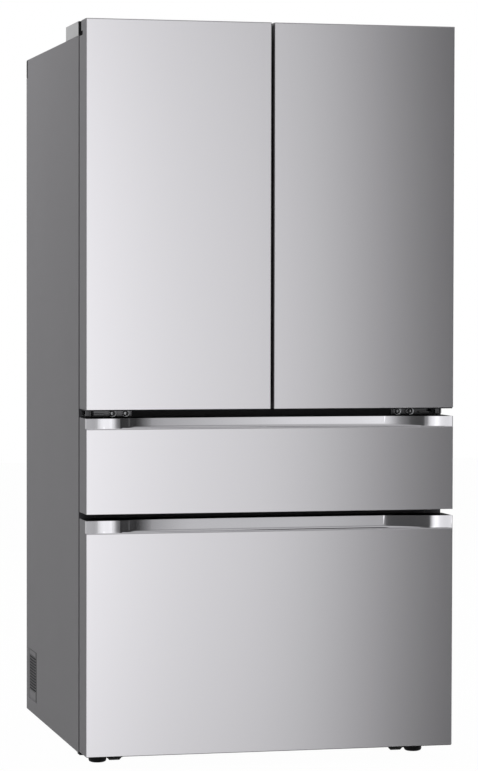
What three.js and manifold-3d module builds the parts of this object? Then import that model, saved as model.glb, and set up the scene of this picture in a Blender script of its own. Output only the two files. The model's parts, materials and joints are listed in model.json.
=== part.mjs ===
// A four-door bottom-freezer refrigerator: two side-hinged upper doors, a shallow middle drawer and a
// deep freezer drawer, each piece as its own solid.
// Millimetres, +Z up, fronts towards -Y. The origin is on the floor under the middle of the whole.
import * as THREE from "three";
import { mergeVertices } from "three/addons/utils/BufferGeometryUtils.js";
import Module from "manifold-3d";

const wasm = await Module();
wasm.setup();

// ------------------------------------------------------------------ driving dimensions
// Overall
const WIDTH = 908; // over the side panels and over the doors
const DEPTH = 876; // door fronts to the back of the case
const CASE_TOP = 1751.6; // top sheet above the floor
const CASE_BOTTOM = 30; // lower edge of the side panels above the floor
const DOOR_RISE = 32.4; // the doors stand this much above the case
const DOOR_THICK = 89;
const SEAL_GAP = 12; // from the back of a door to the front of the case

// Fronts, from the floor up
const TOE_GAP = 35;
const FREEZER_FACE = 532;
const FREEZER_BAND = 29.5;
const DRAWER_GAP = 15.5;
const MIDDLE_FACE = 203;
const MIDDLE_BAND = 24;
const HINGE_GAP = 21; // between the middle drawer and the doors, where the lower hinges sit
const CENTRE_GAP = 8; // between the two doors

// Sheets, walls and clearances
const SHEET = 1; // steel sheet
const SEAT = 0.3; // between two pieces that touch
const LINER = 1.5; // plastic liner wall
const LINER_LIP = 12; // front lip of a liner round its opening
const LINER_RADIUS = 18;
const FRONT_FLANGE = 40; // steel round the openings that the seals close on
const REAR_FLANGE = 20;
const BOTTOM_RETURN = 12; // side panels' lower edges
const SIDE_WALL = 52; // outside of the case to the inside of the liner
const TOP_WALL = 52;
const BACK_WALL = 62;
const FREEZER_FLOOR = 100; // inside of the freezer above the floor
const DOOR_SILL = 40; // the doors' lower edge overlaps the rail by this much
const MIDDLE_SILL = 30;
const MIDDLE_HEAD = 38;
const FREEZER_HEAD = 30.5;

// Machine compartment at the lower back
const MACHINE_HEIGHT = 250;
const MACHINE_DEPTH = 238;
const STEP_WALL = 50; // insulation between it and the freezer
const TRAY_HEIGHT = 36; // the tray that carries the compressor, above the floor
const TRAY_LIP = 14;
const BOTTOM_PLATE = 58; // height of the plate under the insulation

// Doors
const SKIN_RADIUS = 1.5; // outer bend of the steel skin
const SEAL_WIDTH = 14;
const SEAL_INSET = 22; // case side to the outer edge of a seal
const SEAL_EDGE = 5; // seal to the nearest free edge of a door or drawer
const SEAL_OUTSET = 12; // free edge of an opening to the seal's inner edge
const DYKE = 20; // thickness of the raised rim inside a door
const DYKE_HEIGHT = 70;
const DYKE_CLEAR = 7; // rim to liner
const DYKE_CENTRE = 45; // rim to the middle plane, leaves room for the flap
const PLUG = 20; // the drawers' inner panels stand in the openings by this much

// Hinges
const PIN_RADIUS = 6;
const PIN_PLAY = 0.4;
const PIN_INSET = 20; // pin to the side of the door
const PIN_BACK = 23; // pin to the back of the door
const PIN_DEPTH = 22; // pin inside the door
const ARM = 10; // half the width of a hinge arm
const ARM_THICK = 4;
const ARM_SLOT = 3; // free height over and under the upper arm
const NOTCH_DEPTH = 23; // cut at the door's top rear corner, from its back
const NOTCH_WIDTH = 62;
const HINGE_PLATE_FRONT = 12; // case front to the hinge plate
const HINGE_PLATE_LENGTH = 100;
const HINGE_BOLT = 6; // radius of the bolt heads on the plate
const HINGE_COVER_LENGTH = 178;
const HINGE_COVER_WIDTH = 92;
const HINGE_COVER_WALL = 2.5;
const HINGE_COVER_INSET = 6;
const BRACKET_LENGTH = 124;
const BRACKET_HEIGHT = 16;
const BRACKET_THICK = 3;
const SCREW_RADIUS = 6.5;
const SCREW_PITCH = 33;
const SCREW_HEAD = 3;

// Scooped handle bands along the drawers' top edges
const BAND_WALL = 2.5;
const BAND_RETURN = 14; // the band turns back along each side
const SCOOP = 28; // depth of the scoop behind the face
const SCOOP_FLAT = 385; // half-length where the band leaves the face
const SCOOP_FULL = 292; // half-length of the full depth
const POCKET = 34; // finger pocket below the face's top edge
const LIP_HEM = 4; // folded hem of the steel face at the pocket

// Inside of the fresh-food compartment
const SHELF_THICK = 5;
const SHELF_FRONT = 92; // case front to the shelves' front edge
const SHELF_BACK = 30; // liner to the shelves' back edge
const LOWER_SHELF_RISE = 390; // compartment floor to the lower shelf
const UPPER_SHELF_DROP = 209.6; // compartment ceiling to the upper shelf
const SHELF_EDGE = 8; // depth of a shelf's front rim
const SHELF_EDGE_RISE = 6;
const SHELF_STOP = 6; // depth of the stop along a shelf's back
const SHELF_STOP_RISE = 10;
const SHELF_PLAY = 2;
const SUPPORT = 10; // moulded ribs that carry shelves and drawers
const CRISPER_BOTTOM = 30; // above the compartment floor
const CRISPER_HEIGHT = 152;
const CRISPER_ROOM = 181; // behind the crispers
const CRISPER_GRIP_INSET = 60;
const CRISPER_GRIP_REACH = 10;
const CRISPER_GRIP_THICK = 4;
const CRISPER_GRIP_DROP = 30;
const CRISPER_FRONT = 132; // case front to the crispers' fronts
const CRISPER_GAP = 8; // between the two crispers
const CRISPER_CLEAR = 3; // over the crispers
const BIN_WALL = 2.2;
const DUCT_WIDTH = 120;
const DUCT_DEPTH = 22;
const DUCT_SLOT = 8;
const DUCT_SLOTS = 4;
const LOWER_BIN_RISE = 215; // compartment floor to the lower door bins
const UPPER_BIN_DROP = 279.6; // compartment ceiling to the upper door bins' floors
const DOOR_BIN_HEIGHT = 105;
const DOOR_BIN_DEPTH = 92;

// Flap on the left door that closes the centre gap
const FLAP_LENGTH = 52;
const FLAP_THICK = 16;
const FLAP_CLEAR = 10; // flap to the middle plane
const FLAP_END = 8; // flap to the liner above and below

// Drawers, their slides and baskets
const RAIL_HEIGHT = 36;
const RAIL_DEPTH = 11;
const RAIL_WALL = 2.5;
const SLIDE_PLAY = 1.2;
const BIN_SIDE_CLEAR = 22; // drawer bin to liner, room for the slides
const MIDDLE_BIN_ROOM = 213; // behind the middle drawer's bin
const MIDDLE_BIN_HEIGHT = 132;
const MIDDLE_RAIL = 62; // slide's lower edge over the compartment floor
const FREEZER_BIN_ROOM = 37; // from the basket to the step over the machine compartment
const FREEZER_BIN_HEIGHT = 315;
const FREEZER_RAIL = 150;
const BIN_FLOOR_CLEAR = 10;
const TRAY_BOTTOM = 350; // freezer's inner tray over the compartment floor
const TRAY_WALL_HEIGHT = 88;
const TRAY_FRONT = 92;
const TRAY_ROOM = 49; // from the inner tray to the evaporator cover

// Cooling parts
const EVAPORATOR_WIDTH = 620;
const EVAPORATOR_HEIGHT = 170;
const EVAPORATOR_DEPTH = 52;
const EVAPORATOR_FINS = 10;
const FIN_TUBES = 2;
const DUCT_COVER = 72; // liner back to the cover in front of the evaporator
const COVER_SLOTS = 6;
const COVER_SLOT_X = 160; // middle plane to the inner ends of the air slots
const COVER_SLOT_LENGTH = 100;
const COVER_SLOT = 5;
const COVER_SLOT_PITCH = 12;
const COVER_SLOT_DROP = 30; // the cover's top to the uppermost slot
const FAN_OFFSET = 60; // fan to the middle plane
const FAN_RADIUS = 72;
const FAN_BLADES = 5;
const CONDENSER_LENGTH = 240;
const CONDENSER_HEIGHT = 150;
const CONDENSER_WIDTH = 165;
const CONDENSER_FINS = 10;
const COMPRESSOR_RADIUS = 78;
const COMPRESSOR_HEIGHT = 165;
const COMPRESSOR_INSET = 227; // from the case side
const TERMINAL_REACH = 26; // terminal box on the compressor's side
const TERMINAL_HALF = 28;
const TERMINAL_LOW = 40;
const TERMINAL_HIGH = 96;

// Side vents and back cover
const VENT_DEPTH = 2.6;
const VENT_FRONT = 716; // from the door fronts
const VENT_BOTTOM = 64;
const VENT_TOP = 196;
const VENT_SLOTS = 12;
const VENT_SLOT = 3.6;
const VENT_PITCH = 7.6;
const VENT_SLOT_START = 744; // from the door fronts
const VENT_SLOT_LENGTH = 92;
const VENT_SLOT_BOTTOM = 90;
const LOUVRE_ROWS = 7;
const LOUVRE_COLUMNS = 3;
const LOUVRE_LENGTH = 90;
const LOUVRE_HEIGHT = 6;
const REAR_CAP_HEIGHT = 48;
const REAR_CAP_DEPTH = 20;
const INLET_RADIUS = 13;
const INLET_INSET = 124; // from the case side
const INLET_Z = 190;
const INLET_DEPTH = 14;
const INLET_FLANGE = 6;

// Feet and rollers
const FOOT_RADIUS = 22;
const FOOT_HEIGHT = 26;
const FOOT_INSET = 55; // feet and rollers from the case sides
const FOOT_SETBACK = 148; // from the door fronts
const STEM_RADIUS = 5;
const ROLLER_RADIUS = 16;
const ROLLER_WIDTH = 34;
const ROLLER_INSET = 98;
const ROLLER_SETBACK = 156; // front rollers, from the door fronts
const ROLLER_LIFT = 1; // the front rollers clear the floor while the feet carry
const REAR_ROLLER_INSET = 69;
const REAR_ROLLER_Y = 46; // rear rollers, from the back of the case
const AXLE_RADIUS = 4;
const EAR = 2.5; // roller bracket ears

// ------------------------------------------------------------------ planes worked out from them
const SIDE = WIDTH / 2;
const FRONT = -DEPTH / 2;
const BACK = DEPTH / 2;
const DOOR_BACK = FRONT + DOOR_THICK;
const CASE_FRONT = DOOR_BACK + SEAL_GAP;
const FREEZER_BOTTOM = TOE_GAP;
const FREEZER_LIP = FREEZER_BOTTOM + FREEZER_FACE;
const FREEZER_TOP = FREEZER_LIP + FREEZER_BAND;
const MIDDLE_BOTTOM = FREEZER_TOP + DRAWER_GAP;
const MIDDLE_LIP = MIDDLE_BOTTOM + MIDDLE_FACE;
const MIDDLE_TOP = MIDDLE_LIP + MIDDLE_BAND;
const DOOR_BOTTOM = MIDDLE_TOP + HINGE_GAP;
const DOOR_TOP = CASE_TOP + DOOR_RISE;

const INSIDE = SIDE - SIDE_WALL; // half-width inside the liners
const INSIDE_BACK = BACK - BACK_WALL;
const FRESH = { bottom: DOOR_BOTTOM + DOOR_SILL, top: CASE_TOP - TOP_WALL };
const MIDDLE = { bottom: MIDDLE_BOTTOM + MIDDLE_SILL, top: MIDDLE_TOP - MIDDLE_HEAD };
const FREEZER = { bottom: FREEZER_FLOOR, top: FREEZER_TOP - FREEZER_HEAD };
const MACHINE_FRONT = BACK - MACHINE_DEPTH;
const STEP = { y: MACHINE_FRONT - STEP_WALL, z: MACHINE_HEIGHT + STEP_WALL };
const PIN_X = SIDE - PIN_INSET;
const PIN_Y = DOOR_BACK - PIN_BACK;
const SEAL_OUT = SIDE - SEAL_INSET;
const FOOT_X = SIDE - FOOT_INSET;
const ROLLER_X = SIDE - ROLLER_INSET;
const REAR_ROLLER_X = SIDE - REAR_ROLLER_INSET;
const COVER_Y = INSIDE_BACK - DUCT_COVER;
const SHELF_LEVELS = [FRESH.bottom + LOWER_SHELF_RISE, FRESH.top - UPPER_SHELF_DROP];
const DOOR_BIN_LEVELS = [FRESH.bottom + LOWER_BIN_RISE, FRESH.top - UPPER_BIN_DROP];
const MIDDLE_BIN_BACK = INSIDE_BACK - MIDDLE_BIN_ROOM;
const FREEZER_BIN_BACK = STEP.y - FREEZER_BIN_ROOM;

// ------------------------------------------------------------------ materials
const finish = (color, roughness, metalness, opacity = 1) =>
  new THREE.MeshStandardMaterial({ color, roughness, metalness, opacity, transparent: opacity < 1 });
const STAINLESS = finish(0xc9c9cd, 0.32, 1);
const BRIGHT = finish(0xe6e6ea, 0.08, 1);
const GREY_PAINT = finish(0x77777a, 0.5, 0.2);
const BLACK_PAINT = finish(0x1c1c1f, 0.5, 0.1);
const GALVANISED = finish(0xa9adb0, 0.45, 0.8);
const FOAM = finish(0xe3d7a6, 0.9, 0);
const WHITE_PLASTIC = finish(0xf2f3f4, 0.35, 0);
const SEAL_RUBBER = finish(0x8f9194, 0.7, 0);
const CLEAR_PLASTIC = finish(0xdfe8ee, 0.12, 0, 0.45);
const GLASS = finish(0xd8ebe6, 0.05, 0, 0.4);
const GREY_PLASTIC = finish(0xadadb0, 0.55, 0);
const BLACK_PLASTIC = finish(0x17171a, 0.55, 0);
const HINGE_STEEL = finish(0x8d8e92, 0.4, 0.9);
const FIN_METAL = finish(0xb9bec2, 0.4, 0.9);
const COMPRESSOR_BLACK = finish(0x202022, 0.45, 0.3);

// ------------------------------------------------------------------ solids
const part = new THREE.Group();
const MERGE = 0.02;

// A closed geometry as a solid, its shared corners merged and its faces outwards.
function solid(geometry) {
  const bare = geometry.index ? geometry.toNonIndexed() : geometry.clone();
  bare.deleteAttribute("normal");
  bare.deleteAttribute("uv");
  const merged = mergeVertices(bare, 1e-4);
  const triangles = [];
  for (let i = 0; i < merged.index.count; i += 3) {
    const [a, b, c] = [0, 1, 2].map((k) => merged.index.getX(i + k));
    if (a !== b && b !== c && c !== a) triangles.push([a, b, c]);
  }
  const build = (faces) =>
    new wasm.Manifold(
      new wasm.Mesh({
        numProp: 3,
        vertProperties: merged.attributes.position.array,
        triVerts: new Uint32Array(faces.flat()),
      }),
    );
  const made = build(triangles);
  return made.volume() < 0 ? build(triangles.map(([a, b, c]) => [a, c, b])) : made;
}

const join = (pieces) => pieces.reduce((all, piece) => all.add(piece));
const cut = (body, tools) => tools.reduce((rest, tool) => rest.subtract(tool), body);

function box(x0, x1, y0, y1, z0, z1) {
  const geometry = new THREE.BoxGeometry(x1 - x0, y1 - y0, z1 - z0);
  geometry.translate((x0 + x1) / 2, (y0 + y1) / 2, (z0 + z1) / 2);
  return solid(geometry);
}

// The same box on the other side of the middle plane when side is -1.
function sideBox(side, x0, x1, y0, y1, z0, z1) {
  return side > 0 ? box(x0, x1, y0, y1, z0, z1) : box(-x1, -x0, y0, y1, z0, z1);
}

// Both sides at once.
const bothSides = (make) => join([make(-1), make(1)]);

const AXES = {
  x: new THREE.Matrix4().makeBasis(
    new THREE.Vector3(0, 1, 0),
    new THREE.Vector3(0, 0, 1),
    new THREE.Vector3(1, 0, 0),
  ),
  y: new THREE.Matrix4().makeBasis(
    new THREE.Vector3(1, 0, 0),
    new THREE.Vector3(0, 0, 1),
    new THREE.Vector3(0, -1, 0),
  ),
  z: new THREE.Matrix4(),
};

// A shape pushed along an axis from low to high. Its own two coordinates are (y, z) along x,
// (x, z) along y and (x, y) along z.
function extrude(shape, axis, low, high, curveSegments = 2) {
  const geometry = new THREE.ExtrudeGeometry(shape, {
    depth: high - low,
    bevelEnabled: false,
    curveSegments,
  });
  geometry.applyMatrix4(AXES[axis]);
  const start = axis === "y" ? high : low;
  geometry.translate(axis === "x" ? start : 0, axis === "y" ? start : 0, axis === "z" ? start : 0);
  return solid(geometry);
}

function rounded(a0, a1, b0, b1, radius) {
  const r = Math.min(radius, (a1 - a0) / 2.01, (b1 - b0) / 2.01);
  const shape = new THREE.Shape();
  shape.moveTo(a0 + r, b0);
  shape.lineTo(a1 - r, b0);
  shape.absarc(a1 - r, b0 + r, r, -Math.PI / 2, 0, false);
  shape.lineTo(a1, b1 - r);
  shape.absarc(a1 - r, b1 - r, r, 0, Math.PI / 2, false);
  shape.lineTo(a0 + r, b1);
  shape.absarc(a0 + r, b1 - r, r, Math.PI / 2, Math.PI, false);
  shape.lineTo(a0, b0 + r);
  shape.absarc(a0 + r, b0 + r, r, Math.PI, 1.5 * Math.PI, false);
  return shape;
}

function polygon(points) {
  return new THREE.Shape(points.map(([a, b]) => new THREE.Vector2(a, b)));
}

// A round bar along an axis through the point (a, b) of the other two axes.
function rod(axis, radius, low, high, a, b, sides = 20) {
  const geometry = new THREE.CylinderGeometry(radius, radius, high - low, sides);
  const middle = (low + high) / 2;
  if (axis === "x") geometry.rotateZ(-Math.PI / 2).translate(middle, a, b);
  if (axis === "y") geometry.translate(a, middle, b);
  if (axis === "z") geometry.rotateX(Math.PI / 2).translate(a, b, middle);
  return solid(geometry);
}

// A profile of [radius, height] turned about the vertical through (x, y).
function turned(profile, x, y, z, sides = 24) {
  const geometry = new THREE.LatheGeometry(
    profile.map(([r, h]) => new THREE.Vector2(r, h)),
    sides,
  );
  geometry.rotateX(Math.PI / 2).translate(x, y, z);
  return solid(geometry);
}

// An open-topped box with round upright corners and a floor.
function bin(x0, x1, y0, y1, z0, z1, wall, radius = 12) {
  const outside = extrude(rounded(x0, x1, y0, y1, radius), "z", z0, z1);
  const inside = rounded(x0 + wall, x1 - wall, y0 + wall, y1 - wall, radius - wall);
  return outside.subtract(extrude(inside, "z", z0 + wall, z1 + wall));
}

// One named piece. Points nearer than MERGE come together, so that no sliver faces are left.
function node(name, shape, material) {
  const raw = shape.asOriginal().simplify(MERGE).getMesh();
  const indexed = new THREE.BufferGeometry();
  indexed.setAttribute("position", new THREE.BufferAttribute(raw.vertProperties, 3));
  indexed.setIndex(new THREE.BufferAttribute(raw.triVerts, 1));
  const geometry = indexed.toNonIndexed();
  geometry.computeVertexNormals();
  const mesh = new THREE.Mesh(geometry, material);
  mesh.name = name;
  part.add(mesh);
}

const SIDES = [
  ["left", -1],
  ["right", 1],
];

// ------------------------------------------------------------------ case
// The side sheet with its front, rear and bottom returns and the stamped, slotted vent.
function sidePanel(side) {
  const b = (...r) => sideBox(side, ...r);
  const inner = SIDE - SHEET;
  const ventFront = FRONT + VENT_FRONT;
  const ventBack = BACK - SHEET;
  const slotStart = FRONT + VENT_SLOT_START;
  const stampIn = SIDE - VENT_DEPTH - SHEET;
  const window = (grow, x0, x1) =>
    b(x0, x1, ventFront - grow, ventBack, VENT_BOTTOM - grow, VENT_TOP + grow);
  const plate = join([
    b(inner, SIDE, CASE_FRONT, BACK, CASE_BOTTOM, CASE_TOP),
    b(SIDE - FRONT_FLANGE, SIDE, CASE_FRONT, CASE_FRONT + SHEET, CASE_BOTTOM, CASE_TOP),
    b(SIDE - REAR_FLANGE, SIDE, BACK - SHEET, BACK, CASE_BOTTOM, CASE_TOP),
    b(SIDE - BOTTOM_RETURN, SIDE, CASE_FRONT, BACK, CASE_BOTTOM, CASE_BOTTOM + SHEET),
    window(SHEET, stampIn, inner + SHEET / 2),
  ]);
  const slots = [];
  for (let i = 0; i < VENT_SLOTS; i++) {
    const z = VENT_SLOT_BOTTOM + i * VENT_PITCH;
    slots.push(
      b(stampIn - SHEET, SIDE + SHEET, slotStart, slotStart + VENT_SLOT_LENGTH, z, z + VENT_SLOT),
    );
  }
  return cut(plate, [
    window(0, stampIn + SHEET, SIDE + SHEET),
    ...slots,
    b(SIDE - REAR_FLANGE - SHEET, SIDE + SHEET, ...rearCapRoom()),
  ]);
}

// The strip at the top rear edge that the plastic cap fills: y and z limits.
function rearCapRoom() {
  return [BACK - REAR_CAP_DEPTH - SEAT, BACK + SHEET, CASE_TOP - REAR_CAP_HEIGHT - SEAT, CASE_TOP + SHEET];
}

function topPanel() {
  const half = SIDE - SHEET - SEAT;
  const flangeHalf = SIDE - FRONT_FLANGE - SEAT;
  const sheet = join([
    box(-half, half, CASE_FRONT + SHEET + SEAT, BACK, CASE_TOP - SHEET, CASE_TOP),
    box(-flangeHalf, flangeHalf, CASE_FRONT, BACK, CASE_TOP - SHEET, CASE_TOP),
    box(-flangeHalf, flangeHalf, CASE_FRONT, CASE_FRONT + SHEET, CASE_TOP - FRONT_FLANGE, CASE_TOP),
  ]);
  return cut(sheet, [box(-SIDE, SIDE, ...rearCapRoom())]);
}

// A channel along the top rear edge, open to the front, with closed ends.
function rearCap() {
  const y0 = BACK - REAR_CAP_DEPTH;
  const z0 = CASE_TOP - REAR_CAP_HEIGHT;
  const body = extrude(rounded(y0, BACK, z0, CASE_TOP, 5), "x", -SIDE, SIDE);
  const inset = 2 * SHEET;
  return body.subtract(
    box(-SIDE + inset, SIDE - inset, y0 - SHEET, BACK - inset, z0 + inset, CASE_TOP - inset),
  );
}

function backPanel() {
  const half = SIDE - REAR_FLANGE - SEAT;
  return box(
    -half,
    half,
    BACK - SHEET,
    BACK,
    MACHINE_HEIGHT + STEP_WALL / 4,
    CASE_TOP - REAR_CAP_HEIGHT - 2 * SEAT,
  );
}

// ------------------------------------------------------------------ liners and insulation
// The room inside each compartment, grown by a margin and open past the front.
function room(space, grow, front = CASE_FRONT) {
  const radius = LINER_RADIUS + grow;
  const prism = (y, z) =>
    extrude(
      rounded(-INSIDE - grow, INSIDE + grow, z - grow, space.top + grow, radius),
      "y",
      front,
      y + grow,
    );
  if (space !== FREEZER) return prism(INSIDE_BACK, space.bottom);
  return join([prism(STEP.y, space.bottom), prism(INSIDE_BACK, STEP.z)]);
}

function lip(space) {
  const grow = LINER_LIP;
  return extrude(
    rounded(-INSIDE - grow, INSIDE + grow, space.bottom - grow, space.top + grow, 3),
    "y",
    CASE_FRONT,
    CASE_FRONT + LINER,
  );
}

// A moulded rib along the side walls, its top at the given height.
function ribs(top, y0, y1, depth = SUPPORT) {
  return bothSides((s) => sideBox(s, INSIDE - depth, INSIDE + LINER / 2, y0, y1, top - SUPPORT, top));
}

// The fixed slide members: channels open towards the drawer.
function fixedRails(bottom, y1) {
  const groove = RAIL_WALL;
  const y0 = CASE_FRONT + LINER_LIP;
  return bothSides((s) =>
    sideBox(s, INSIDE - RAIL_DEPTH, INSIDE + LINER / 2, y0, y1, bottom, bottom + RAIL_HEIGHT).subtract(
      sideBox(
        s,
        INSIDE - 2 * RAIL_DEPTH,
        INSIDE - groove,
        y0 - SUPPORT,
        y1 - groove,
        bottom + groove,
        bottom + RAIL_HEIGHT - groove,
      ),
    ),
  );
}

function liner(space, extras) {
  const shell = room(space, LINER).add(lip(space)).subtract(room(space, 0, CASE_FRONT - LINER));
  return join([shell, ...extras]);
}

const SHELF_Y = { front: CASE_FRONT + SHELF_FRONT, back: INSIDE_BACK - SHELF_BACK };
const CRISPER_Z = FRESH.bottom + CRISPER_BOTTOM;
const CRISPER_COVER_Z = CRISPER_Z + CRISPER_HEIGHT + SUPPORT + CRISPER_CLEAR;
const TRAY_Z = FREEZER.bottom + TRAY_BOTTOM;
const TRAY_Y = { front: CASE_FRONT + TRAY_FRONT, back: COVER_Y - TRAY_ROOM };

function freshLiner() {
  const levels = [...SHELF_LEVELS, CRISPER_COVER_Z, CRISPER_Z];
  const centre = box(
    -CRISPER_GAP,
    CRISPER_GAP,
    SHELF_Y.front,
    SHELF_Y.back,
    FRESH.bottom - LINER / 2,
    CRISPER_Z - SEAT,
  );
  return liner(FRESH, [
    ...levels.map((z) => ribs(z - SEAT, SHELF_Y.front, SHELF_Y.back)),
    centre,
  ]);
}

const middleRailBack = MIDDLE_BIN_BACK + SUPPORT;
const freezerRailBack = FREEZER_BIN_BACK + SUPPORT;

// The insulation fills the room between the case and the liners.
function insulation() {
  const skin = SHEET + SEAT;
  const half = SIDE - skin;
  const front = CASE_FRONT + Math.max(SHEET, LINER) + SEAT;
  const back = BACK - skin;
  const body = box(-half, half, front, back, BOTTOM_PLATE + skin, CASE_TOP - skin);
  const machineTop = MACHINE_HEIGHT;
  const capCut = SEAT + SHEET;
  return cut(body, [
    box(-SIDE, SIDE, MACHINE_FRONT, BACK, CASE_BOTTOM, machineTop),
    room(FRESH, LINER + SEAT),
    room(MIDDLE, LINER + SEAT),
    room(FREEZER, LINER + SEAT),
    box(
      -SIDE,
      SIDE,
      BACK - REAR_CAP_DEPTH - capCut,
      BACK,
      CASE_TOP - REAR_CAP_HEIGHT - capCut,
      CASE_TOP,
    ),
    bothSides((s) =>
      sideBox(
        s,
        SIDE - VENT_DEPTH - SHEET - 2 * SEAT,
        SIDE,
        FRONT + VENT_FRONT - 2 * SHEET,
        BACK,
        VENT_BOTTOM - 2 * SHEET,
        VENT_TOP + 2 * SHEET,
      ),
    ),
  ]);
}

// A steel rail between two openings, with returns into the insulation.
function crossRail(low, high) {
  const half = SIDE - FRONT_FLANGE - SEAT;
  const z0 = low + LINER_LIP + SEAT;
  const z1 = high - LINER_LIP - SEAT;
  return box(-half, half, CASE_FRONT, CASE_FRONT + SHEET, z0, z1);
}

// ------------------------------------------------------------------ base
// Sill, bottom plate and the brackets that hold the front feet and rollers.
function baseFrame() {
  const half = SIDE - SHEET - SEAT;
  const sillHalf = SIDE - FRONT_FLANGE - SEAT;
  const sillTop = FREEZER.bottom - LINER_LIP - SEAT;
  const footY = FRONT + FOOT_SETBACK;
  const rollerY = FRONT + ROLLER_SETBACK;
  const rollerZ = ROLLER_RADIUS + ROLLER_LIFT;
  const bracketZ = FOOT_HEIGHT + SHEET;
  const y0 = footY - FOOT_RADIUS - 2 * EAR;
  const y1 = rollerY + ROLLER_RADIUS + 2 * EAR;
  const innerEar = ROLLER_X - ROLLER_WIDTH / 2 - 1;
  const outerEar = ROLLER_X + ROLLER_WIDTH / 2 + 1;
  const sill = join([
    box(-sillHalf, sillHalf, CASE_FRONT, CASE_FRONT + SHEET, CASE_BOTTOM + SHEET, sillTop),
    box(-sillHalf, sillHalf, CASE_FRONT, CASE_FRONT + 2 * SUPPORT, BOTTOM_PLATE - SHEET, BOTTOM_PLATE),
    box(-half, half, CASE_FRONT + 2 * SHEET, MACHINE_FRONT, BOTTOM_PLATE - SHEET, BOTTOM_PLATE),
    box(-half, half, MACHINE_FRONT - SHEET, MACHINE_FRONT, TRAY_HEIGHT, BOTTOM_PLATE),
  ]);
  const bracket = (s) =>
    join([
      sideBox(s, outerEar, FOOT_X + FOOT_RADIUS, y0, y1, bracketZ, bracketZ + EAR),
      sideBox(s, FOOT_X - STEM_RADIUS - 2 * EAR, FOOT_X + STEM_RADIUS + 2 * EAR, y0, y1, bracketZ, BOTTOM_PLATE),
      sideBox(s, outerEar, outerEar + EAR, y0, y1, bracketZ - FOOT_HEIGHT / 2, BOTTOM_PLATE),
      sideBox(s, innerEar - EAR, innerEar, y0, y1, bracketZ - FOOT_HEIGHT / 2, BOTTOM_PLATE),
      rod("x", AXLE_RADIUS, innerEar - 2 * EAR, outerEar + EAR, rollerY, rollerZ, 12),
    ]);
  const brackets = join([mirrorX(bracket(1)), bracket(1)]);
  const stems = bothSides((s) =>
    rod("z", STEM_RADIUS + PIN_PLAY, 0, BOTTOM_PLATE - 2 * SHEET, s * FOOT_X, footY, 16),
  );
  const footRoom = bothSides((s) =>
    rod("z", FOOT_RADIUS + 1, 0, FOOT_HEIGHT + SEAT, s * FOOT_X, footY, 24),
  );
  return cut(sill.add(brackets), [stems, footRoom]);
}

function mirrorX(shape) {
  return shape.mirror([1, 0, 0]);
}

function foot(side) {
  const round = 6;
  const top = BOTTOM_PLATE - 3 * SHEET;
  return turned(
    [
      [0, 0],
      [FOOT_RADIUS - round, 0],
      [FOOT_RADIUS - round * 0.3, round * 0.3],
      [FOOT_RADIUS, round],
      [FOOT_RADIUS, FOOT_HEIGHT - 2],
      [FOOT_RADIUS - 2, FOOT_HEIGHT],
      [STEM_RADIUS, FOOT_HEIGHT],
      [STEM_RADIUS, top],
      [0, top],
    ],
    side * FOOT_X,
    FRONT + FOOT_SETBACK,
    0,
    20,
  );
}

function roller(x, y, z) {
  const half = ROLLER_WIDTH / 2;
  const bore = AXLE_RADIUS + PIN_PLAY;
  const bevel = 5;
  const geometry = new THREE.LatheGeometry(
    [
      [bore, -half],
      [ROLLER_RADIUS - bevel, -half],
      [ROLLER_RADIUS, -half + bevel],
      [ROLLER_RADIUS, half - bevel],
      [ROLLER_RADIUS - bevel, half],
      [bore, half],
      [bore, -half],
    ].map(([r, h]) => new THREE.Vector2(r, h)),
    18,
  );
  return solid(geometry.rotateZ(Math.PI / 2).translate(x, y, z));
}

// The tray that carries the compressor, with the rear rollers' ears under it.
function compressorTray() {
  const half = SIDE - SHEET - BOTTOM_RETURN;
  const y0 = MACHINE_FRONT + 2 * SHEET;
  const y1 = BACK - 4 * SHEET;
  const z = TRAY_HEIGHT;
  const rollerY = BACK - REAR_ROLLER_Y;
  const ears = (s) => {
    const inner = REAR_ROLLER_X - ROLLER_WIDTH / 2 - 1;
    const outer = REAR_ROLLER_X + ROLLER_WIDTH / 2 + 1;
    const reach = AXLE_RADIUS + 2 * EAR;
    return join([
      sideBox(s, inner - EAR, inner, rollerY - reach, rollerY + reach, ROLLER_RADIUS - reach, z + SHEET),
      sideBox(s, outer, outer + EAR, rollerY - reach, rollerY + reach, ROLLER_RADIUS - reach, z + SHEET),
      s > 0
        ? rod("x", AXLE_RADIUS, inner - EAR, outer + EAR, rollerY, ROLLER_RADIUS, 12)
        : rod("x", AXLE_RADIUS, -outer - EAR, -inner + EAR, rollerY, ROLLER_RADIUS, 12),
    ]);
  };
  const wall = 2 * SHEET;
  const dish = cut(box(-half, half, y0, y1, z, z + TRAY_LIP), [
    box(-half + wall, half - wall, y0 + wall, y1 - wall, z + wall, z + TRAY_LIP + 1),
  ]);
  return join([dish, bothSides(ears)]);
}

// ------------------------------------------------------------------ machine compartment
const MACHINE_Y = MACHINE_FRONT + MACHINE_DEPTH / 2;
const TRAY_TOP = TRAY_HEIGHT + 2 * SHEET;
const FAN_X = -FAN_OFFSET;
const FAN_Z = TRAY_TOP + TRAY_LIP + FAN_RADIUS;
const INLET_X = INLET_INSET - SIDE;

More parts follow.
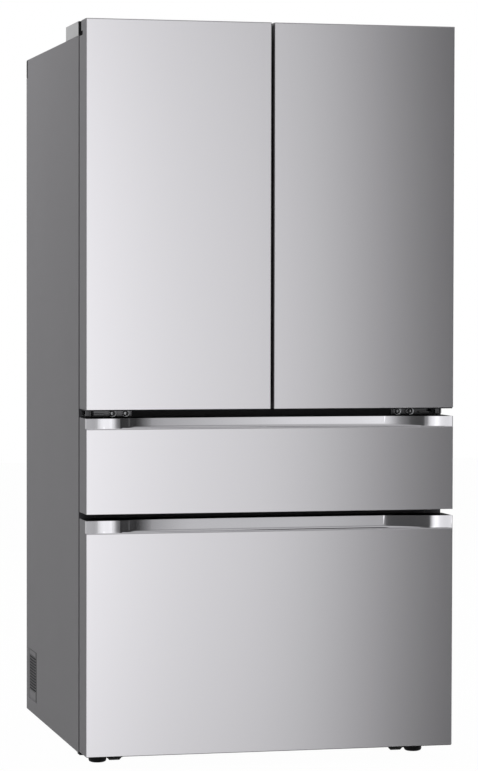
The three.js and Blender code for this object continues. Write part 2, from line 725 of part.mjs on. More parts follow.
// Welded shell on a foot plate with rubber mounts, a terminal box and two pipe stubs.
function compressor() {
  const r = COMPRESSOR_RADIUS;
  const top = COMPRESSOR_HEIGHT;
  const seam = top * 0.48;
  const x = SIDE - COMPRESSOR_INSET;
  const y = MACHINE_Y;
  const z = TRAY_TOP + SEAT;
  const shell = turned(
    [
      [0, 14],
      [r * 0.6, 14],
      [r * 0.88, 24],
      [r, 44],
      [r, seam - 3],
      [r + 4, seam - 3],
      [r + 4, seam + 3],
      [r, seam + 3],
      [r, top - 46],
      [r * 0.9, top - 22],
      [r * 0.62, top - 6],
      [0, top],
    ],
    x,
    y,
    z,
    20,
  );
  const plate = extrude(rounded(x - r - 12, x + r + 12, y - r - 8, y + r + 8, 18), "z", z + 10, z + 18);
  const mounts = [];
  for (const sx of [-1, 1])
    for (const sy of [-1, 1]) mounts.push(rod("z", 11, z, z + 12, x + sx * r, y + sy * (r - 4), 12));
  return join([
    shell,
    plate,
    ...mounts,
    box(x - r - TERMINAL_REACH, x - r + 12, y - TERMINAL_HALF, y + TERMINAL_HALF, z + TERMINAL_LOW, z + TERMINAL_HIGH),
    rod("z", 5, z + top - 30, z + top + 16, x + r * 0.5, y, 10),
    rod("z", 4, z + top - 30, z + top + 12, x, y + r * 0.5, 10),
  ]);
}

// A block of upright fins on through tubes.
function finBlock(x0, x1, y0, y1, z0, z1, fins, thick) {
  const pitch = (x1 - x0 - thick) / (fins - 1);
  const pieces = [];
  for (let i = 0; i < fins; i++) {
    const x = x0 + i * pitch;
    pieces.push(box(x, x + thick, y0, y1, z0, z1));
  }
  for (let i = 0; i < FIN_TUBES; i++) {
    const z = z0 + ((z1 - z0) * (i + 0.5)) / FIN_TUBES;
    pieces.push(rod("x", 4, x0, x1, (y0 + y1) / 2, z, 6));
  }
  return join(pieces);
}

// Condenser, its side plates and the round fan shroud with the motor on three arms.
function condenser() {
  const x1 = FAN_X - 40;
  const x0 = x1 - CONDENSER_LENGTH;
  const y0 = MACHINE_Y - CONDENSER_WIDTH / 2;
  const y1 = MACHINE_Y + CONDENSER_WIDTH / 2;
  const z0 = TRAY_TOP + SEAT;
  const z1 = z0 + CONDENSER_HEIGHT + TRAY_LIP;
  const plateX = FAN_X - 1;
  const shroud = box(plateX, plateX + 2, y0, y1, z0, z1).subtract(
    rod("x", FAN_RADIUS + 4, plateX - 2, plateX + 4, MACHINE_Y, FAN_Z, 24),
  );
  const motorX = FAN_X + 18;
  const arms = [0, 1, 2].map((i) => {
    const angle = Math.PI / 2 + (i * 2 * Math.PI) / 3;
    const reach = FAN_RADIUS + 10;
    const arm = new THREE.BoxGeometry(4, 10, reach).translate(0, 0, reach / 2);
    arm.rotateX(angle - Math.PI / 2).translate(motorX + 8, MACHINE_Y, FAN_Z);
    const post = new THREE.BoxGeometry(motorX + 10 - plateX, 10, 6);
    post.translate((motorX + 10 + plateX) / 2, 0, reach - 3);
    post.rotateX(angle - Math.PI / 2).translate(0, MACHINE_Y, FAN_Z);
    return solid(arm).add(solid(post));
  });
  return join([
    finBlock(x0, x1, y0, y1, z0 + TRAY_LIP, z1, CONDENSER_FINS, 1.6),
    box(x0, plateX + 2, y0, y0 + 1.6, z0, z1),
    box(x0, plateX + 2, y1 - 1.6, y1, z0, z1),
    shroud,
    ...arms,
    rod("x", 20, motorX, motorX + 26, MACHINE_Y, FAN_Z, 16),
    rod("x", 3, FAN_X - 6, motorX + 4, MACHINE_Y, FAN_Z, 12),
  ]);
}

// Hub and pitched blades.
function fan() {
  const hub = rod("x", 17, FAN_X - 8, FAN_X + 12, MACHINE_Y, FAN_Z, 20);
  const blades = [];
  for (let i = 0; i < FAN_BLADES; i++) {
    const blade = new THREE.BoxGeometry(2, 34, FAN_RADIUS - 15);
    blade.rotateZ(0.45).translate(0, 0, 12 + (FAN_RADIUS - 15) / 2);
    blade.rotateX((i * 2 * Math.PI) / FAN_BLADES).translate(FAN_X, MACHINE_Y, FAN_Z);
    blades.push(solid(blade));
  }
  return join([hub, ...blades]).subtract(
    rod("x", 3 + PIN_PLAY, FAN_X - 6 - SEAT, FAN_X + 14, MACHINE_Y, FAN_Z, 12),
  );
}

function machineCover() {
  const half = SIDE - REAR_FLANGE - SEAT;
  const z0 = TRAY_HEIGHT - SHEET;
  const z1 = MACHINE_HEIGHT + STEP_WALL / 4 - SEAT;
  const slots = [];
  const columnPitch = (2 * half) / (LOUVRE_COLUMNS + 1);
  const rowPitch = (z1 - z0 - 90) / LOUVRE_ROWS;
  for (let c = 0; c < LOUVRE_COLUMNS; c++)
    for (let r = 0; r < LOUVRE_ROWS; r++) {
      const x = -half + (c + 1.25) * columnPitch;
      const z = z0 + 45 + r * rowPitch;
      slots.push(
        box(x - LOUVRE_LENGTH / 2, x + LOUVRE_LENGTH / 2, BACK - 3, BACK + 1, z, z + LOUVRE_HEIGHT),
      );
    }
  return cut(box(-half, half, BACK - SHEET, BACK, z0, z1), [
    ...slots,
    rod("y", INLET_RADIUS + SEAT, BACK - 3, BACK + 1, INLET_X, INLET_Z, 20),
  ]);
}

// The power inlet's grommet in the back cover: a flanged, dished bush.
function powerInlet() {
  const r = INLET_RADIUS;
  const inside = r * 0.5;
  const depth = INLET_DEPTH;
  const geometry = new THREE.LatheGeometry(
    [
      [0, -depth],
      [r, -depth],
      [r, 0],
      [inside, 0],
      [inside, -depth / 2],
      [0, -depth / 2],
    ].map(([radius, h]) => new THREE.Vector2(radius, h)),
    20,
  );
  const bush = solid(geometry.translate(INLET_X, BACK, INLET_Z));
  const flange = rod("y", r + INLET_FLANGE, BACK - depth, BACK - SHEET - SEAT, INLET_X, INLET_Z, 20);
  return bush.add(flange);
}

// ------------------------------------------------------------------ freezer cooling
function evaporator() {
  const half = EVAPORATOR_WIDTH / 2;
  const y0 = COVER_Y + (DUCT_COVER - EVAPORATOR_DEPTH) / 2;
  const z0 = STEP.z + 24;
  return join([
    finBlock(-half, half, y0, y0 + EVAPORATOR_DEPTH, z0, z0 + EVAPORATOR_HEIGHT, EVAPORATOR_FINS, 1.6),
    box(-half - 6, -half + 1, y0, INSIDE_BACK - SEAT, z0, z0 + 20),
    box(half - 1, half + 6, y0, INSIDE_BACK - SEAT, z0, z0 + 20),
  ]);
}

function evaporatorCover() {
  const half = INSIDE - SHEET;
  const z0 = STEP.z + SEAT;
  const z1 = FREEZER.top - SHEET;
  const slots = [];
  for (let i = 0; i < COVER_SLOTS; i++) {
    const z = z1 - COVER_SLOT_DROP - i * COVER_SLOT_PITCH;
    const [x0, x1] = [COVER_SLOT_X, COVER_SLOT_X + COVER_SLOT_LENGTH];
    for (const s of [-1, 1]) slots.push(sideBox(s, x0, x1, COVER_Y - 3, COVER_Y + 6, z, z + COVER_SLOT));
  }
  const plate = extrude(rounded(-half, half, z0, z1, LINER_RADIUS), "y", COVER_Y, COVER_Y + 2.5);
  const ears = bothSides((s) => sideBox(s, half - 3, half, COVER_Y, INSIDE_BACK - SEAT - LINER_RADIUS, z0 + 30, z1 - 30));
  return cut(plate.add(ears), slots);
}

// ------------------------------------------------------------------ hinges on the case
function hingeTop(side) {
  const z0 = CASE_TOP + SEAT;
  const z1 = z0 + ARM_THICK;
  const cover = hingeCoverPlan();
  const plateFront = CASE_FRONT + HINGE_PLATE_FRONT;
  const bolt = (x, y) => rod("z", HINGE_BOLT, z0, z1 + ARM_THICK, x, y, 12);
  const rearBolts = plateFront + HINGE_PLATE_LENGTH - 4 * HINGE_BOLT;
  const arm = join([
    box(PIN_X - ARM, PIN_X + ARM, PIN_Y, plateFront + 4, z0, z1),
    rod("z", ARM, z0, z1, PIN_X, PIN_Y, 16),
    rod("z", PIN_RADIUS, z0 - ARM_SLOT - PIN_DEPTH, z1, PIN_X, PIN_Y, 16),
    box(cover.x0 + 8, PIN_X + ARM, plateFront, plateFront + HINGE_PLATE_LENGTH, z0, z1),
    bolt(cover.x0 + 22, plateFront + 4 * HINGE_BOLT),
    bolt(PIN_X - 4, rearBolts),
    bolt(cover.x0 + 22, rearBolts),
  ]);
  return side > 0 ? arm : mirrorX(arm);
}

function hingeCoverPlan() {
  const x1 = SIDE - HINGE_COVER_INSET;
  return { x0: x1 - HINGE_COVER_WIDTH, x1, y0: CASE_FRONT + 1, y1: CASE_FRONT + 1 + HINGE_COVER_LENGTH };
}

function hingeCover(side) {
  const { x0, x1, y0, y1 } = hingeCoverPlan();
  const z0 = CASE_TOP + SEAT;
  const z1 = DOOR_TOP + 2;
  const w = HINGE_COVER_WALL;
  const shell = cut(extrude(rounded(x0, x1, y0, y1, 6), "z", z0, z1), [
    extrude(rounded(x0 + w, x1 - w, y0 + w, y1 - w, 4), "z", z0 - 1, z1 - w),
    box(PIN_X - ARM - 1, PIN_X + ARM + 1, y0 - 1, y0 + 2 * w, z0 - 1, z0 + ARM_THICK + 1),
  ]);
  return side > 0 ? shell : mirrorX(shell);
}

// The lower hinge: a flange screwed to the rail, an arm and an upright pin with a washer.
function hingeMiddle(side) {
  const x1 = SIDE - 5;
  const x0 = x1 - BRACKET_LENGTH;
  const back = CASE_FRONT - SEAT;
  const z0 = MIDDLE_TOP + 1.5;
  const z1 = z0 + BRACKET_HEIGHT;
  const armZ = z0 + 3;
  const screwZ = (z0 + z1) / 2 - 1;
  const firstScrew = x0 + SCREW_RADIUS + 2;
  const bracket = join([
    box(x0, x1, back - BRACKET_THICK, back, z0, z1),
    box(PIN_X - ARM, PIN_X + ARM, PIN_Y, back, armZ, armZ + ARM_THICK),
    box(PIN_X - 4 * ARM, PIN_X - ARM, back - 14, back, armZ, armZ + ARM_THICK),
    rod("z", ARM, armZ, armZ + ARM_THICK, PIN_X, PIN_Y, 16),
    rod("z", ARM, armZ, DOOR_BOTTOM - 2 * SEAT, PIN_X, PIN_Y, 16),
    rod("z", PIN_RADIUS, armZ, DOOR_BOTTOM + PIN_DEPTH - 4, PIN_X, PIN_Y, 16),
    rod("y", SCREW_RADIUS, back - BRACKET_THICK - SCREW_HEAD, back - 1, firstScrew, screwZ, 16),
    rod("y", SCREW_RADIUS, back - BRACKET_THICK - SCREW_HEAD, back - 1, firstScrew + SCREW_PITCH, screwZ, 16),
  ]);
  return side > 0 ? bracket : mirrorX(bracket);
}

// ------------------------------------------------------------------ skins and seals
// A steel skin bent round the front and sides, open at the back: its plan between two x limits.
function skinPlan(x0, x1, inset) {
  const [a, b] = [x0 + inset, x1 - inset];
  const y = FRONT + inset;
  const r = Math.max(SKIN_RADIUS - inset, 0.6);
  return { a, b, y, r };
}

function skinProfile(x0, x1) {
  const o = skinPlan(x0, x1, 0);
  const i = skinPlan(x0, x1, SHEET);
  const shape = new THREE.Shape();
  shape.moveTo(o.a, DOOR_BACK);
  shape.lineTo(o.a, o.y + o.r);
  shape.absarc(o.a + o.r, o.y + o.r, o.r, Math.PI, 1.5 * Math.PI, false);
  shape.lineTo(o.b - o.r, o.y);
  shape.absarc(o.b - o.r, o.y + o.r, o.r, 1.5 * Math.PI, 2 * Math.PI, false);
  shape.lineTo(o.b, DOOR_BACK);
  shape.lineTo(i.b, DOOR_BACK);
  shape.lineTo(i.b, i.y + i.r);
  shape.absarc(i.b - i.r, i.y + i.r, i.r, 2 * Math.PI, 1.5 * Math.PI, true);
  shape.lineTo(i.a + i.r, i.y);
  shape.absarc(i.a + i.r, i.y + i.r, i.r, 1.5 * Math.PI, Math.PI, true);
  shape.lineTo(i.a, DOOR_BACK);
  return shape;
}

function coreProfile(x0, x1) {
  const c = skinPlan(x0, x1, SHEET + SEAT);
  const shape = new THREE.Shape();
  shape.moveTo(c.a, DOOR_BACK);
  shape.lineTo(c.a, c.y + c.r);
  shape.absarc(c.a + c.r, c.y + c.r, c.r, Math.PI, 1.5 * Math.PI, false);
  shape.lineTo(c.b - c.r, c.y);
  shape.absarc(c.b - c.r, c.y + c.r, c.r, 1.5 * Math.PI, 2 * Math.PI, false);
  shape.lineTo(c.b, DOOR_BACK);
  return shape;
}

// A seal: a hollow-looking frame between a door and the case, its lips a little narrower at the back.
function seal(x0, x1, z0, z1) {
  const y0 = DOOR_BACK + SEAT;
  const y1 = CASE_FRONT - SEAT;
  const w = SEAL_WIDTH;
  const ring = (grow, low, high) => {
    const outer = extrude(rounded(x0 + grow, x1 - grow, z0 + grow, z1 - grow, 4), "y", low, high, 1);
    const inner = box(x0 + w - grow, x1 - w + grow, low - 1, high + 1, z0 + w - grow, z1 - w + grow);
    return outer.subtract(inner);
  };
  const middle = (y0 + y1) / 2;
  return join([ring(0, y0, middle), ring(2.5, middle - 0.5, y1)]);
}

// ------------------------------------------------------------------ upper doors
const DOOR = { x0: CENTRE_GAP / 2, x1: SIDE }; // right door; the left one is its mirror image

// What the upper hinge needs cut from the door: pin hole, arm slot and the corner notch.
function doorCuts() {
  const armZ = CASE_TOP + SEAT;
  const slotLow = armZ - ARM_SLOT;
  const slotHigh = armZ + ARM_THICK + ARM_SLOT;
  const out = SIDE + 1;
  const back = DOOR_BACK + DYKE_HEIGHT + 1;
  return [
    rod("z", PIN_RADIUS + PIN_PLAY, slotLow - PIN_DEPTH - 1, slotHigh, PIN_X, PIN_Y, 16),
    box(PIN_X - ARM - 2, out, PIN_Y - ARM - 8, back, slotLow, slotHigh),
    box(SIDE - NOTCH_WIDTH, out, DOOR_BACK - NOTCH_DEPTH, back, slotLow, DOOR_TOP + 1),
    rod("z", PIN_RADIUS + PIN_PLAY, DOOR_BOTTOM - 1, DOOR_BOTTOM + PIN_DEPTH, PIN_X, PIN_Y, 16),
  ];
}

function doorSkin(side) {
  const wrap = extrude(skinProfile(DOOR.x0, DOOR.x1), "z", DOOR_BOTTOM, DOOR_TOP);
  const skin = cut(wrap, doorCuts().slice(1, 3));
  return side > 0 ? skin : mirrorX(skin);
}

const DYKE_X = { x0: DYKE_CENTRE, x1: INSIDE - DYKE_CLEAR };
const DYKE_Z = { z0: FRESH.bottom + DYKE_CLEAR, z1: FRESH.top - DYKE_CLEAR };
const DOOR_BIN = {
  x0: DYKE_X.x0 + DYKE + SHEET,
  x1: DYKE_X.x1 - DYKE - SHEET,
  y0: DOOR_BACK + SHEET,
  y1: DOOR_BACK + SHEET + DOOR_BIN_DEPTH,
};

// Foamed door body with the raised rim and the small bosses that the bins rest on.
function doorCore(side) {
  const slab = extrude(coreProfile(DOOR.x0, DOOR.x1), "z", DOOR_BOTTOM, DOOR_TOP);
  const rim = extrude(
    rounded(DYKE_X.x0, DYKE_X.x1, DYKE_Z.z0, DYKE_Z.z1, LINER_RADIUS),
    "y",
    DOOR_BACK - 1,
    DOOR_BACK + DYKE_HEIGHT,
  ).subtract(
    extrude(
      rounded(DYKE_X.x0 + DYKE, DYKE_X.x1 - DYKE, DYKE_Z.z0 + DYKE, DYKE_Z.z1 - DYKE, LINER_RADIUS / 2),
      "y",
      DOOR_BACK - 2,
      DOOR_BACK + DYKE_HEIGHT + 1,
    ),
  );
  const bosses = DOOR_BIN_LEVELS.flatMap((z) =>
    [
      [DYKE_X.x0 + DYKE - 1, DYKE_X.x0 + DYKE + 8],
      [DYKE_X.x1 - DYKE - 8, DYKE_X.x1 - DYKE + 1],
    ].map(([x0, x1]) => box(x0, x1, DOOR_BACK - 1, DOOR_BACK + 50, z - 9, z - SEAT)),
  );
  const core = cut(join([slab, rim, ...bosses]), doorCuts());
  return side > 0 ? core : mirrorX(core);
}

function doorSeal(side) {
  const shape = seal(
    DOOR.x0 + SEAL_EDGE,
    SEAL_OUT,
    DOOR_BOTTOM + SEAL_EDGE,
    CASE_TOP - SEAL_EDGE - ARM_THICK,
  );
  return side > 0 ? shape : mirrorX(shape);
}

function doorBin(side, z) {
  const { x0, x1, y0, y1 } = DOOR_BIN;
  const body = bin(x0, x1, y0, y1, z, z + DOOR_BIN_HEIGHT, BIN_WALL, 16);
  return side > 0 ? body : mirrorX(body);
}

// The flap stands folded back beside the left door's seal; it turns about its round front end.
function flap() {
  const x1 = -FLAP_CLEAR;
  const x0 = x1 - FLAP_THICK;
  const y0 = CASE_FRONT + SEAT;
  const z0 = FRESH.bottom + FLAP_END;
  const z1 = FRESH.top - FLAP_END;
  return extrude(rounded(x0, x1, y0, y0 + FLAP_LENGTH, FLAP_THICK / 2), "z", z0, z1, 3);
}

// ------------------------------------------------------------------ drawers
// How far the handle band lies behind the face at a distance from the middle.
function scoopDepth(x) {
  const share = (SCOOP_FLAT - Math.abs(x)) / (SCOOP_FLAT - SCOOP_FULL);
  const t = Math.min(1, Math.max(0, share));
  return (SCOOP * (1 - Math.cos(Math.PI * t))) / 2;
}

// Half the length over which the band lies at least this deep.
function scoopReach(depth) {
  return SCOOP_FLAT - (Math.acos(1 - (2 * depth) / SCOOP) / Math.PI) * (SCOOP_FLAT - SCOOP_FULL);
}

// The band's front line in plan, left to right, moved back by an offset.
function bandLine(offset) {
  const points = [];
  const steps = 12;
  const stations = [];
  for (let i = 0; i <= steps; i++)
    stations.push(SCOOP_FLAT - (i * (SCOOP_FLAT - SCOOP_FULL)) / steps);
  for (const x of stations) points.push([-x, FRONT + scoopDepth(x) + offset]);
  for (const x of stations.reverse()) points.push([x, FRONT + scoopDepth(x) + offset]);
  return points;
}

// The bright band: flush with the face at its ends, scooped in between, with a finger pocket below.
function handleBand(lipZ, topZ) {
  const r = SKIN_RADIUS;
  const w = BAND_WALL;
  const c = Math.max(r, w + SEAT); // inner corner
  const line = new THREE.Shape();
  line.moveTo(-SIDE, FRONT + BAND_RETURN);
  line.lineTo(-SIDE, FRONT + r);
  line.absarc(-SIDE + r, FRONT + r, r, Math.PI, 1.5 * Math.PI, false);
  for (const [x, y] of bandLine(0)) line.lineTo(x, y);
  line.lineTo(SIDE - r, FRONT);
  line.absarc(SIDE - r, FRONT + r, r, 1.5 * Math.PI, 2 * Math.PI, false);
  line.lineTo(SIDE, FRONT + BAND_RETURN);
  line.lineTo(SIDE - w, FRONT + BAND_RETURN);
  line.lineTo(SIDE - w, FRONT + c);
  line.lineTo(SIDE - c, FRONT + w);
  for (const [x, y] of bandLine(w).reverse()) line.lineTo(x, y);
  line.lineTo(-SIDE + c, FRONT + w);
  line.lineTo(-SIDE + w, FRONT + c);
  line.lineTo(-SIDE + w, FRONT + BAND_RETURN);
  const low = lipZ - POCKET;
  const strip = extrude(line, "z", low, topZ);
  const floor = extrude(polygon([...bandLine(w)]), "z", low, low + w);
  const behindFace = FRONT + SHEET + SEAT;
  const wallHalf = scoopReach(SHEET + SEAT + BAND_WALL);
  const frontWall = box(
    -wallHalf,
    wallHalf,
    behindFace,
    behindFace + w,
    low,
    lipZ - SHEET - SEAT,
  ).intersect(extrude(polygon([...bandLine(w)]), "z", low, lipZ));
  return cut(join([strip, floor, frontWall]), [
    box(-SIDE - 1, SIDE + 1, FRONT - 1, behindFace, low - 1, lipZ + SEAT),
    bothSides((s) => sideBox(s, wallHalf, SIDE + 1, FRONT - 1, DOOR_BACK, low - 1, lipZ + SEAT)),
  ]);
}

// Steel face and sides of a drawer; the sides run up past the face beside the band.
function drawerSkin(bottomZ, lipZ, topZ) {
  const wrap = extrude(skinProfile(-SIDE, SIDE), "z", bottomZ, topZ);
  const hemHalf = scoopReach(LIP_HEM + SEAT);
  const hem = box(-hemHalf, hemHalf, FRONT + SHEET / 2, FRONT + LIP_HEM, lipZ - SHEET, lipZ);
  return cut(wrap, [
    box(-SIDE - 1, SIDE + 1, FRONT - 1, FRONT + BAND_RETURN + SEAT, lipZ, topZ + 1),
  ]).add(hem);
}

// Everything in front of the band's back, as room to cut from the insulation.
function bandRoom(lipZ, topZ) {
  const gap = BAND_WALL + SEAT;
  const outline = polygon([
    [-SIDE - 1, FRONT - 1],
    [SIDE + 1, FRONT - 1],
    [SIDE + 1, FRONT + gap],
    ...bandLine(gap).reverse(),
    [-SIDE - 1, FRONT + gap],
  ]);
  const above = extrude(outline, "z", lipZ - SHEET, topZ + 1);
  const pocketHalf = scoopReach(SHEET + SEAT + BAND_WALL) + SEAT;
  const pocket = extrude(outline, "z", lipZ - POCKET - SEAT, lipZ).intersect(
    box(-pocketHalf, pocketHalf, FRONT - 1, DOOR_BACK, lipZ - POCKET - SEAT, lipZ),
  );
  const returns = bothSides((s) =>
    sideBox(
      s,
      SIDE - BAND_WALL - SEAT,
      SIDE + 1,
      FRONT - 1,
      FRONT + BAND_RETURN + SEAT,
      lipZ - SHEET,
      topZ + 1,
    ),
  );
  const corners = bothSides((s) =>
    sideBox(s, SIDE - BAND_WALL - SKIN_RADIUS, SIDE + 1, FRONT - 1, FRONT + BAND_WALL + SKIN_RADIUS, lipZ - SHEET, topZ + 1),
  );
  return join([above, pocket, returns, corners]);
}

function drawerCore(bottomZ, lipZ, topZ, space) {
  const slab = extrude(coreProfile(-SIDE, SIDE), "z", bottomZ, topZ);
  const half = INSIDE - DYKE_CLEAR;
  const plug = extrude(
    rounded(-half, half, space.bottom + DYKE_CLEAR, space.top - DYKE_CLEAR, LINER_RADIUS / 2),
    "y",
    DOOR_BACK - 1,
    DOOR_BACK + PLUG,
  );
  return slab.add(plug).subtract(bandRoom(lipZ, topZ));
}

function drawerSeal(space, lowZ, highZ) {
  const z0 = Math.max(lowZ + SEAL_EDGE, space.bottom - SEAL_WIDTH - SEAL_OUTSET);
  const z1 = Math.min(highZ - SEAL_EDGE, space.top + SEAL_WIDTH + SEAL_OUTSET);
  return seal(-SEAL_OUT, SEAL_OUT, z0, z1);
}

// A drawer bin with the moving slide members along its sides.
function drawerBin(space, y1, height, railOffset) {
  const half = INSIDE - BIN_SIDE_CLEAR;
  const y0 = DOOR_BACK + PLUG + SEAT;
  const z0 = space.bottom + BIN_FLOOR_CLEAR;
  const rail = space.bottom + railOffset + RAIL_WALL + SLIDE_PLAY;
  const railTop = space.bottom + railOffset + RAIL_HEIGHT - RAIL_WALL - SLIDE_PLAY;
  const slides = bothSides((s) =>
    sideBox(s, half - 1, INSIDE - RAIL_WALL - SLIDE_PLAY, y0, y1, rail, railTop),
  );
  return bin(-half, half, y0, y1, z0, z0 + height, BIN_WALL + 0.8, 20).add(slides);
}

function freezerTray() {
  const half = INSIDE - SHELF_PLAY;
  return bin(-half, half, TRAY_Y.front, TRAY_Y.back, TRAY_Z, TRAY_Z + TRAY_WALL_HEIGHT, BIN_WALL, 16);
}

// ------------------------------------------------------------------ fresh-food fittings
// A glass shelf with a deeper front edge.
function shelf(z) {
  const half = INSIDE - SHELF_PLAY;
  return join([
    box(-half, half, SHELF_Y.front, SHELF_Y.back, z, z + SHELF_THICK),
    box(-half, half, SHELF_Y.front, SHELF_Y.front + SHELF_EDGE, z, z + SHELF_THICK + SHELF_EDGE_RISE),
    box(-half, half, SHELF_Y.back - SHELF_STOP, SHELF_Y.back, z, z + SHELF_THICK + SHELF_STOP_RISE),
  ]);
}

function crisper(side) {
  const x0 = CRISPER_GAP / 2;
  const x1 = INSIDE - SHELF_PLAY;
  const y0 = CASE_FRONT + CRISPER_FRONT;
  const top = CRISPER_Z + CRISPER_HEIGHT;
  const body = bin(x0, x1, y0, INSIDE_BACK - CRISPER_ROOM, CRISPER_Z, top, BIN_WALL, 14);
  const grip = box(
    x0 + CRISPER_GRIP_INSET,
    x1 - CRISPER_GRIP_INSET,
    y0 - CRISPER_GRIP_REACH,
    y0 + 1,
    top - CRISPER_GRIP_DROP,
    top - CRISPER_GRIP_DROP + CRISPER_GRIP_THICK,
  );
  const drawer = body.add(grip);
  return side > 0 ? drawer : mirrorX(drawer);
}

// The air tower on the back wall, with pairs of outlets.
function airDuct() {
  const half = DUCT_WIDTH / 2;
  const y1 = INSIDE_BACK - SEAT;
  const y0 = y1 - DUCT_DEPTH;
  const z0 = CRISPER_COVER_Z + 20;
  const z1 = FRESH.top - 20;
  const body = extrude(
    polygon([
      [-half, y1],
      [-half + 14, y0],
      [half - 14, y0],
      [half, y1],
    ]),
    "z",
    z0,
    z1,
  );
  const slots = [];
  const pitch = (z1 - z0) / DUCT_SLOTS;
  for (let i = 0; i < DUCT_SLOTS; i++) {
    const z = z0 + (i + 0.5) * pitch;
    for (const s of [-1, 1])
      slots.push(sideBox(s, 12, half - 18, y0 - 1, y1 - 4, z, z + DUCT_SLOT));
  }
  return cut(body, slots);
}

// ------------------------------------------------------------------ the assembly
for (const [name, side] of SIDES) node(`side_panel_${name}`, sidePanel(side), GREY_PAINT);
node("top_panel", topPanel(), GREY_PAINT);
node("rear_top_cap", rearCap(), BLACK_PLASTIC);
node("back_panel", backPanel(), GALVANISED);
node("cabinet_insulation", insulation(), FOAM);
node("fridge_liner", freshLiner(), WHITE_PLASTIC);
node("middle_drawer_liner", liner(MIDDLE, [fixedRails(MIDDLE.bottom + MIDDLE_RAIL, middleRailBack)]), WHITE_PLASTIC);
node(
  "freezer_liner",
  liner(FREEZER, [
    fixedRails(FREEZER.bottom + FREEZER_RAIL, freezerRailBack),
    ribs(TRAY_Z - SEAT, TRAY_Y.front, TRAY_Y.back),
  ]),
  WHITE_PLASTIC,
);
node("upper_cross_rail", crossRail(MIDDLE.top, FRESH.bottom), BLACK_PAINT);
node("lower_cross_rail", crossRail(FREEZER.top, MIDDLE.bottom), BLACK_PAINT);
node("base_frame", baseFrame(), BLACK_PAINT);
node("compressor_tray", compressorTray(), GALVANISED);
node("machine_cover", machineCover(), GALVANISED);
node("power_inlet", powerInlet(), BLACK_PLASTIC);
node("compressor", compressor(), COMPRESSOR_BLACK);
node("condenser", condenser(), FIN_METAL);
node("condenser_fan", fan(), BLACK_PLASTIC);
node("evaporator", evaporator(), FIN_METAL);
node("evaporator_cover", evaporatorCover(), WHITE_PLASTIC);
node("fridge_air_duct", airDuct(), WHITE_PLASTIC);
SHELF_LEVELS.forEach((z, i) => node(["shelf_lower", "shelf_upper"][i], shelf(z), GLASS));
node("crisper_cover", shelf(CRISPER_COVER_Z), GLASS);
for (const [name, side] of SIDES) {
  node(`hinge_top_${name}`, hingeTop(side), HINGE_STEEL);
  node(`hinge_cover_${name}`, hingeCover(side), GREY_PLASTIC);
  node(`hinge_middle_${name}`, hingeMiddle(side), HINGE_STEEL);
  node(`foot_${name}`, foot(side), BLACK_PLASTIC);
  node(
    `front_roller_${name}`,
    roller(side * ROLLER_X, FRONT + ROLLER_SETBACK, ROLLER_RADIUS + ROLLER_LIFT),
    BLACK_PLASTIC,
  );
  node(
    `rear_roller_${name}`,
    roller(side * REAR_ROLLER_X, BACK - REAR_ROLLER_Y, ROLLER_RADIUS),
    BLACK_PLASTIC,
  );
  node(`door_${name}_skin`, doorSkin(side), STAINLESS);
  node(`door_${name}_body`, doorCore(side), WHITE_PLASTIC);
  node(`door_${name}_seal`, doorSeal(side), SEAL_RUBBER);
  DOOR_BIN_LEVELS.forEach((z, i) =>
    node(`door_${name}_bin_${["lower", "upper"][i]}`, doorBin(side, z), CLEAR_PLASTIC),
  );
  node(`crisper_${name}`, crisper(side), CLEAR_PLASTIC);
}
node("centre_flap", flap(), GREY_PLASTIC);

const DRAWERS = [
  ["middle_drawer", MIDDLE_BOTTOM, MIDDLE_LIP, MIDDLE_TOP, MIDDLE],
  ["freezer_drawer", FREEZER_BOTTOM, FREEZER_LIP, FREEZER_TOP, FREEZER],
];
for (const [name, low, lip, top, space] of DRAWERS) {
  node(`${name}_skin`, drawerSkin(low, lip, top), STAINLESS);
  node(`${name}_handle_band`, handleBand(lip, top), BRIGHT);
  node(`${name}_body`, drawerCore(low, lip, top, space), WHITE_PLASTIC);
  node(`${name}_seal`, drawerSeal(space, low, top), SEAL_RUBBER);
}
node("middle_drawer_bin", drawerBin(MIDDLE, MIDDLE_BIN_BACK, MIDDLE_BIN_HEIGHT, MIDDLE_RAIL), CLEAR_PLASTIC);
node("freezer_basket", drawerBin(FREEZER, FREEZER_BIN_BACK, FREEZER_BIN_HEIGHT, FREEZER_RAIL), WHITE_PLASTIC);
node("freezer_tray", freezerTray(), CLEAR_PLASTIC);

export default part;
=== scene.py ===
"""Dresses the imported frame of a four-door bottom-freezer refrigerator: finishes, fittings, studio."""
import json
import math

import bpy
from mathutils import Matrix, Vector


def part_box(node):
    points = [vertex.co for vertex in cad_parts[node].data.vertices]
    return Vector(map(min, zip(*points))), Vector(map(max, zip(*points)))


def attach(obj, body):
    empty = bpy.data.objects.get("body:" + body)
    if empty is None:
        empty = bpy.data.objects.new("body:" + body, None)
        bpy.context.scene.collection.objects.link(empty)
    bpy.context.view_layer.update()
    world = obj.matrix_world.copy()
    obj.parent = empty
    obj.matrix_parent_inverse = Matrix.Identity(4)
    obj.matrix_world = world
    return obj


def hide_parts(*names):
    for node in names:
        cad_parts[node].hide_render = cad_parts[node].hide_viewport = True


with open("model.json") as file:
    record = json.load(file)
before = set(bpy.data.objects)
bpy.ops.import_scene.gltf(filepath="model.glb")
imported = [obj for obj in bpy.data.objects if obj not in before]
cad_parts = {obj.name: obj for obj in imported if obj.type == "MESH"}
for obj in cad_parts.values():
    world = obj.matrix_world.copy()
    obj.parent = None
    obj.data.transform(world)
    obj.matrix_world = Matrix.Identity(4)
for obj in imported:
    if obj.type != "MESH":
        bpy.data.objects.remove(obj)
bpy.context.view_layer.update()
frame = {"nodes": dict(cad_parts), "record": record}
SLOT_OF = {part["node"]: part["material_slot"] for part in frame["record"]["subparts"]}
